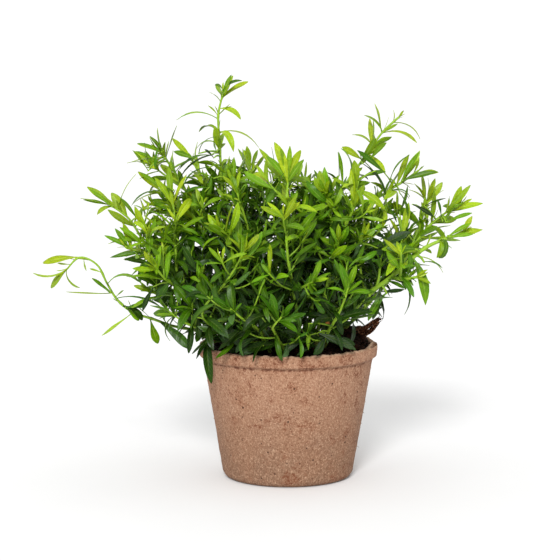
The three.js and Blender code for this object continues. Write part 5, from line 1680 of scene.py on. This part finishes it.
def leaf_material(settings):
    """Herb leaf blade: a grown, uncut surface with a thin wax, so it has a soft gloss, a little light
    passes through it, and its midrib and veins are paler than the green between them. Old leaves are
    darker, and so are leaves deep and low in the clump as painted shade; their midrib fades, and some
    grown leaves have a blue-grey tint that is partly their waxy coat and partly a painted sheen."""
    material, node, place = new_material("herb_leaf_blade")
    split = node("ShaderNodeSeparateXYZ", {0: node(UV_MAP, uv_map="surface")})
    along, across = split.outputs[0], split.outputs[1]
    age, chance, under, dry = (
        node(ATTRIBUTE, attribute_name=key).outputs["Fac"]
        for key in ("age", "chance", "under", "dry")
    )
    mottle = node(NOISE, {"Vector": place, "Scale": fits(1.6), "Detail": 3.0})
    patch = node(NOISE, {"Vector": place, "Scale": fits(9), "Detail": 3.0})
    # The age attribute also carries painted shade deep and low in the clump and painted light high up and to
    # the sides.
    aged = node(MATH, {0: patch, 1: 0.3, 2: age}, operation="MULTIPLY_ADD")
    aged = node(MATH, {0: aged, 1: 0.15}, operation="SUBTRACT")
    green = coated(node, (*settings.youngest_leaf, 1), [
        (aged, -0.04, 0.26, 1.0, (*settings.young_leaf, 1)),
        (aged, 0.24, 0.56, 1.0, (*settings.grown_leaf, 1)),
        (aged, 0.55, 0.88, 1.0, (*settings.old_and_shaded_leaf, 1)),
    ])
    other = node(MATH, {0: chance, 1: CHANCE_TURNS}, operation="MULTIPLY")
    other = node(MATH, {0: other}, operation="FRACT")
    hue = node(RANGE, {0: chance, 3: 0.479, 4: 0.499})
    light = node(RANGE, {0: other, 3: 0.72, 4: 1.16})
    green = node("ShaderNodeHueSaturation", {"Hue": hue, "Value": light, "Color": green})
    grown = node(RANGE, {0: aged, 1: 0.35, 2: 0.7})
    # A blue-grey tint on some grown leaves: partly a waxy coat, partly a painted sheen.
    bloom_and_sheen = node(MATH, {0: other, 1: grown}, operation="MULTIPLY")
    beside = node(MATH, {0: across, 1: 0.5}, operation="SUBTRACT")
    beside = node(MATH, {0: beside}, operation="ABSOLUTE")
    slant = node(MATH, {0: beside, 1: -3.0, 2: node(MATH, {0: along, 1: 11.0}, operation="MULTIPLY")},
                 operation="MULTIPLY_ADD")
    vein = node(MATH, {0: slant, 1: 0.5}, operation="PINGPONG")
    midrib = node(RANGE, {0: beside, 1: 0.085, 2: 0.025}, interpolation_type="SMOOTHSTEP")
    fading = node(RANGE, {0: along, 1: 0.55, 2: 1.0, 3: 0.5, 4: 0.1})
    midrib = node(MATH, {0: midrib, 1: fading}, operation="MULTIPLY")
    fresh = node(RANGE, {0: aged, 1: 0.3, 2: 0.75, 3: 1.0, 4: 0.45})
    paleness = node(MATH, {0: midrib, 1: fresh}, operation="MULTIPLY")
    pale = node(MIX, {0: 0.6, 6: green, 7: colour("#b9cf6a")}, data_type="RGBA")
    brown = node(MIX, {0: patch, 6: colour("#a4581f"), 7: colour("#c98a48")}, data_type="RGBA")
    green = coated(node, green, [
        # Painted sheen in part: the blue-grey tint on some grown leaves.
        (bloom_and_sheen, 0.87, 0.95, 0.55, "#587a4a"),
        (mottle, 0.35, 0.75, 0.3, "#1d4400"),
        (vein, 0.09, 0.0, 0.16, pale),
        (paleness, 0.0, 1.0, 1.0, pale),
        (under, 0.0, 1.0, 0.42, "#6c9233"),
        (dry, 0.0, 1.0, 1.0, brown),
    ])
    relief = node(MATH, {0: midrib, 1: -0.8, 2: mottle}, operation="MULTIPLY_ADD")
    relief = node(MATH, {0: vein, 1: 0.8, 2: relief}, operation="MULTIPLY_ADD")
    bump = node(BUMP, {"Strength": 0.35, "Distance": 0.12 * MM, "Height": relief})
    rough = node(RANGE, {0: mottle, 1: 0.3, 2: 0.8, 3: 0.3, 4: 0.46})
    node(OUTPUT, {0: node(PRINCIPLED, {
        "Base Color": green, "Roughness": rough, "Specular IOR Level": 0.22, "Normal": bump, **FRESH,
    }, subsurface_method="BURLEY")})
    return material


def stem_material(settings):
    """Green herb stem: soft and juicy at the tip and woody at the foot, so its lime green turns to
    olive brown, with fine lines along it."""
    material, node, place = new_material("green_herb_stem")
    uv = node(UV_MAP, uv_map="surface")
    age = node(ATTRIBUTE, attribute_name="age").outputs["Fac"]
    patch = node(NOISE, {"Vector": place, "Scale": fits(5), "Detail": 3.0})
    lined = node(MAPPING, {"Vector": uv, "Scale": (0.6, 16.0, 1.0)})
    lines = node(NOISE, {"Vector": lined, "Scale": 1.0, "Detail": 2.0})
    aged = node(MATH, {0: patch, 1: 0.3, 2: age}, operation="MULTIPLY_ADD")
    base = coated(node, (*settings.young_stem, 1), [
        (aged, 0.15, 0.7, 1.0, (*settings.grown_stem, 1)),
        (aged, 0.7, 0.95, 1.0, "#66702c"),
        (aged, 0.95, 1.15, 1.0, "#4c3a20"),
        (lines, 0.35, 0.75, 0.35, "#4f7a1d"),
    ])
    bump = node(BUMP, {"Strength": 0.4, "Distance": 0.15 * MM, "Height": lines})
    node(OUTPUT, {0: node(PRINCIPLED, {
        "Base Color": base, "Roughness": 0.5, "Specular IOR Level": 0.3, "Normal": bump, **FRESH,
    }, subsurface_method="BURLEY")})
    return material


def fibre_material(settings):
    """Pressed wood fibre, formed wet and dried: matt, with a fine grain of light and dark fibres,
    dark specks of bark, reddish blotches, and a darker, greyer brown towards the base. The dark
    dotted line under the lip is painted shade where the lip steps out from the wall, and the lip's
    torn top edge is paler. Single fibres are a fifth of a millimetre wide, too fine to show, so the
    grain is drawn five times as coarse."""
    material, node, place = new_material("pressed_wood_fibre")
    height = node("ShaderNodeSeparateXYZ", {0: place}).outputs[2]
    grain = node(NOISE, {"Vector": place, "Scale": fits(1.1), "Detail": 3.0, "Roughness": 0.85})
    felt = node(NOISE, {"Vector": place, "Scale": fits(3.2), "Detail": 4.0, "Roughness": 0.6})
    cloud = node(NOISE, {"Vector": place, "Scale": fits(22), "Detail": 3.0})
    patch = node(NOISE, {"Vector": place, "Scale": fits(13), "Detail": 4.0, "Roughness": 0.65})
    fine = node(NOISE, {"Vector": place, "Scale": fits(1.4), "Detail": 3.0, "Roughness": 0.75})
    on_lip = node(RANGE, {0: height, 1: GROOVE_HEIGHT - 0.004, 2: GROOVE_HEIGHT + 0.001, 4: 0.1})
    patch = node(MATH, {0: patch, 1: on_lip}, operation="ADD")
    patch = node(RANGE, {0: patch, 1: 0.535, 2: 0.65}, interpolation_type="SMOOTHSTEP")
    bark = node(RANGE, {0: fine, 1: 0.49, 2: 0.56})
    blotch = node(MATH, {0: patch, 1: bark}, operation="MULTIPLY")
    strands = []
    for turn, seed in ((0.6, 3.0), (-0.9, 11.0)):
        laid = node(MAPPING, {
            "Vector": place, "Location": (seed, seed, seed), "Rotation": (turn, turn, 0.0),
            "Scale": (1.0, 1.0, 0.16),
        })
        strands.append(node(NOISE, {"Vector": laid, "Scale": fits(0.55), "Detail": 1.0}))
    specks = []
    for size, seed in ((4.2, 0.0), (2.3, 5.0)):
        moved = node(MAPPING, {"Vector": place, "Location": (seed, seed, seed)})
        cells = node("ShaderNodeTexVoronoi", {"Vector": moved, "Scale": fits(size)})
        chance = node("ShaderNodeSeparateColor", {0: cells.outputs["Color"]})
        reach = node(RANGE, {0: chance, 1: 0.45, 2: 1.0, 4: 0.19}, interpolation_type="SMOOTHSTEP")
        specks.append(node(MATH, {0: reach, 1: cells.outputs["Distance"]}, operation="SUBTRACT"))
    # Painted shade: a thin dark dotted line at the lip's foot, where the lip steps out from the wall.
    off = node(MATH, {0: height, 1: GROOVE_HEIGHT}, operation="SUBTRACT")
    off = node(MATH, {0: off}, operation="ABSOLUTE")
    line = node(RANGE, {0: off, 1: 0.0013, 2: 0.0004})
    dotted = node(RANGE, {0: felt, 1: 0.42, 2: 0.58, 3: 0.1})
    line = node(MATH, {0: line, 1: dotted}, operation="MULTIPLY")
    base = coated(node, (*settings.fibre_top, 1), [
        # Darker, greyer brown towards the base.
        (height, 0.082, 0.0, 1.0, (*settings.fibre_base, 1)),
        (cloud, 0.38, 0.62, 0.3, "#8b6248"),
        (grain, 0.5, 0.68, 0.6, "#c6a286"),
        (grain, 0.47, 0.32, 0.9, "#5f3b27"),
        (felt, 0.52, 0.7, 0.35, "#7b5039"),
        (strands[0], 0.62, 0.74, 0.36, "#c8a88a"),
        (strands[1], 0.62, 0.74, 0.36, "#c8a88a"),
        (patch, 0.0, 1.0, 0.15, "#855036"),
        (blotch, 0.0, 1.0, 0.8, "#633520"),
        (specks[1], -0.05, 0.03, 0.8, "#5e2f1c"),
        (specks[0], -0.015, 0.03, 0.85, "#35190f"),
        # Painted shade under the lip's step.
        (line, 0.0, 1.0, 0.85, "#5c3323"),
        # A paler band along the lip's torn top edge.
        (height, 0.0885, 0.0905, 0.55, "#c9ad93"),
    ])
    relief = node(MATH, {0: felt, 1: 0.8, 2: grain}, operation="MULTIPLY_ADD")
    bump = node(BUMP, {"Strength": 0.55, "Distance": 0.35 * MM, "Height": relief})
    node(OUTPUT, {0: node(PRINCIPLED, {
        "Base Color": base, "Roughness": 0.92, "Specular IOR Level": 0.25, "Normal": bump,
    })})
    return material


def peat_material(settings):
    """Moist peat: crumbly and almost black where it is wet, with reddish, drier crumbs."""
    material, node, place = new_material("moist_peat")
    fine = node(NOISE, {"Vector": place, "Scale": fits(0.9), "Detail": 4.0, "Roughness": 0.65})
    patch = node(NOISE, {"Vector": place, "Scale": fits(6), "Detail": 3.0})
    base = coated(node, (*settings.peat, 1), [
        (patch, 0.42, 0.64, 1.0, "#27120b"),
        (fine, 0.57, 0.7, 0.7, "#6a3c26"),
    ])
    relief = node(MATH, {0: fine, 1: patch}, operation="ADD")
    bump = node(BUMP, {"Strength": 0.8, "Distance": 0.8 * MM, "Height": relief})
    node(OUTPUT, {0: node(PRINCIPLED, {
        "Base Color": base, "Roughness": 0.9, "Specular IOR Level": 0.08, "Normal": bump,
    })})
    return material


def root_material(settings):
    """Dry root wood: split along its grain, brown with grey and reddish stripes."""
    material, node, place = new_material("dry_root_wood")
    leaned = node(MAPPING, {
        "Vector": place, "Rotation": (0.0, -0.7, 0.0), "Scale": (1.0, 1.0, 0.2),
    })
    grain = node(NOISE, {"Vector": leaned, "Scale": fits(0.9), "Detail": 4.0, "Roughness": 0.65})
    fine = node(NOISE, {"Vector": place, "Scale": fits(1.2), "Detail": 3.0, "Roughness": 0.6})
    base = coated(node, (*settings.root, 1), [
        (grain, 0.44, 0.54, 1.0, "#2a120b"),
        (fine, 0.57, 0.66, 0.8, "#b98a66"),
    ])
    relief = node(MATH, {0: grain, 1: fine}, operation="ADD")
    bump = node(BUMP, {"Strength": 0.9, "Distance": 0.5 * MM, "Height": relief})
    node(OUTPUT, {0: node(PRINCIPLED, {
        "Base Color": base, "Roughness": 0.85, "Specular IOR Level": 0.12, "Normal": bump,
    })})
    return material


def floor_material():
    """Matt white card: no pattern shows at this distance but a very faint unevenness of tone."""
    material, node, place = new_material("matt_white_card")
    tone = node(NOISE, {"Vector": place, "Scale": fits(180), "Detail": 3.0})
    base = coated(node, colour("#e4e4e4"), [(tone, 0.3, 0.7, 1.0, "#e6e6e6")])
    node(OUTPUT, {0: node(PRINCIPLED, {"Base Color": base, "Roughness": 0.9})})
    return material


def one_skin(points):
    """The parts of a mesh from a grid of rings, closed at the middle of its first and last ring."""
    rings, around = points.shape[:2]
    ends = [points[0].mean(0), points[-1].mean(0)]
    return (np.concatenate([points.reshape(-1, 3), ends]), *closed_rings(1, rings, around), {}, 0)


def shade(name, description, code):
    """A colour that a user may change, given as an sRGB hex value."""
    return FloatVectorProperty(
        name=name, description=description, subtype="COLOR", size=3, min=0, max=1, default=linear(code)
    )


class HerbSettings(bpy.types.PropertyGroup):
    """The sizes and colours of the herb, its pot and its stage."""

    youngest_leaf: shade("Youngest Leaf", "Colour of the leaves at the very tips", "#92b014")
    young_leaf: shade("Young Leaf", "Colour of the leaves below the tips", "#629306")
    grown_leaf: shade("Grown Leaf", "Colour of the full-grown leaves", "#366800")
    # The oldest leaves' colour, also used as painted shade for leaves low and deep in the clump.
    old_and_shaded_leaf: shade("Old Leaf", "Colour of the oldest leaves, low and deep in the clump", "#102e00")
    young_stem: shade("Young Stem", "Colour of a stem at its tip", "#8db02c")
    grown_stem: shade("Grown Stem", "Colour of a stem half way down", "#6c8f24")
    # The pot's colour near its lip, and a darker, greyer colour towards its base.
    fibre_top: shade("Dry Fibre", "Colour of the pot near its lip", "#9b745c")
    fibre_base: shade("Damp Fibre", "Colour of the pot near its base", "#775945")
    peat: shade("Peat", "Colour of the wet soil", "#160d09")
    root: shade("Dry Root", "Colour of the dry stub", "#6b3f2a")
    stem_girth: FloatProperty(
        name="Stem Girth", description="How thick the stems are, as a share of the real ones",
        default=1.0, min=0.7, max=1.3, subtype="FACTOR",
    )
    fibre_ends: IntProperty(
        name="Loose Fibres", description="How many ends of fibre stand off the pot", default=420,
        min=0, max=900,
    )
    camera_distance: FloatProperty(
        name="Camera Distance", description="From the camera to the middle of the plant", default=1.5,
        min=0.5, max=4.0, unit="LENGTH",
    )
    key_strength: FloatProperty(
        name="Key Light", description="Strength of the large soft light in front, in watts a square metre",
        default=2.65, min=0.0, max=20.0,
    )


class HERB_OT_pot(bpy.types.Operator):
    """Makes the round pot of pressed fibre, with its ragged lip and loose fibre ends."""

    bl_idname = "herb.make_pot"
    bl_label = "Make Pot"

    def execute(self, context):
        settings = context.scene.herb
        points = pot_points()
        parts = [one_skin(points), fibre_ends(points, settings.fibre_ends)]
        make_piece("fibre_pot", parts, [fibre_material(settings)], "pot")
        return {"FINISHED"}


class HERB_OT_soil(bpy.types.Operator):
    """Makes the mound of peat that fills the pot, with loose crumbs on it."""

    bl_idname = "herb.make_soil"
    bl_label = "Make Soil"

    def execute(self, context):
        parts = [one_skin(soil_points()), crumbs()]
        material = peat_material(context.scene.herb)
        make_piece("peat_soil", parts, [material], "soil")
        return {"FINISHED"}


class HERB_OT_root_stub(bpy.types.Operator):
    """Makes the dry, splintered stub of an older root by the rim."""

    bl_idname = "herb.make_root_stub"
    bl_label = "Make Root Stub"

    def execute(self, context):
        material = root_material(context.scene.herb)
        make_piece("splintered_stub", stub_parts(), [material], "root_stub")
        return {"FINISHED"}


class HERB_OT_stems(bpy.types.Operator):
    """Grows every leafy stem: its stem, its side shoots and all their leaves, one piece a stem."""

    bl_idname = "herb.make_leafy_stems"
    bl_label = "Make Leafy Stems"

    def execute(self, context):
        settings = context.scene.herb
        materials = [leaf_material(settings), stem_material(settings)]
        stems, branches = grow_plant()
        for owner, stem in enumerate(stems):
            girth = GIRTH.get(stem["name"], 1.0) * settings.stem_girth
            parts = []
            for branch in branches:
                if branch["owner"] == owner:
                    parts += branch_parts(branch, girth)
            name = stem["name"].replace("stem_", "leafy_")
            make_piece(name, parts, materials, stem["name"])
        return {"FINISHED"}


class HERB_OT_stage(bpy.types.Operator):
    """Makes the plain pale floor, the soft studio light and the camera."""

    bl_idname = "herb.make_stage"
    bl_label = "Make Stage"

    def execute(self, context):
        scene = context.scene
        settings = scene.herb
        reach = FLOOR_REACH
        corners = [(-reach, -reach, 0), (reach, -reach, 0), (reach, reach, 0), (-reach, reach, 0)]
        mesh = bpy.data.meshes.new("floor")
        mesh.from_pydata([(x, y, z - FLOOR_GAP) for x, y, z in corners], [], [(0, 1, 2, 3)])
        mesh.materials.append(floor_material())
        floor = bpy.data.objects.new("floor", mesh)
        scene.collection.objects.link(floor)

        world = bpy.data.worlds.new("soft_white_room")
        world.use_nodes = True
        tree = world.node_tree
        tree.nodes.clear()
        sky = add(tree, "ShaderNodeBackground", {0: (1, 1, 1, 1), 1: ROOM_LIGHT})
        add(tree, "ShaderNodeOutputWorld", {0: sky})
        scene.world = world
        scene.view_settings.view_transform = "Standard"

        light = bpy.data.lights.new("key_light", "SUN")
        light.energy, light.angle = settings.key_strength, math.radians(KEY_SOFTNESS)
        lamp = bpy.data.objects.new("key_light", light)
        lamp.rotation_euler = (math.radians(90 - KEY_RISE), 0, math.radians(KEY_TURN))
        scene.collection.objects.link(lamp)

        view = bpy.data.cameras.new("camera")
        view.lens, view.sensor_width = CAMERA_LENS, CAMERA_SENSOR
        camera = bpy.data.objects.new("camera", view)
        pitch = math.radians(CAMERA_PITCH)
        back = settings.camera_distance
        camera.location = Vector(CAMERA_TARGET) + Vector((0, -back * math.cos(pitch), back * math.sin(pitch)))
        camera.rotation_euler = (math.pi / 2 - pitch, 0, 0)
        scene.collection.objects.link(camera)
        scene.camera = camera
        return {"FINISHED"}


class HERB_PT_panel(bpy.types.Panel):
    """Lists the pieces in the sidebar, with the sizes and colours that they take."""

    bl_idname = "HERB_PT_panel"
    bl_label = "Potted Herb"
    bl_space_type = "VIEW_3D"
    bl_region_type = "UI"
    bl_category = "Herb"

    def draw(self, context):
        for operator in OPERATORS:
            self.layout.operator(operator.bl_idname)
        for key in HerbSettings.__annotations__:
            self.layout.prop(context.scene.herb, key)


OPERATORS = (HERB_OT_pot, HERB_OT_soil, HERB_OT_root_stub, HERB_OT_stems, HERB_OT_stage)


def register():
    for kind in (HerbSettings, *OPERATORS, HERB_PT_panel):
        bpy.utils.register_class(kind)
    bpy.types.Scene.herb = PointerProperty(type=HerbSettings)


def unregister():
    del bpy.types.Scene.herb
    for kind in reversed((HerbSettings, *OPERATORS, HERB_PT_panel)):
        bpy.utils.unregister_class(kind)


def main():
    register()
    bpy.ops.herb.make_stage()
    bpy.ops.herb.make_pot()
    bpy.ops.herb.make_soil()
    bpy.ops.herb.make_root_stub()
    bpy.ops.herb.make_leafy_stems()
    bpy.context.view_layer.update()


if __name__ == "__main__":
    main()
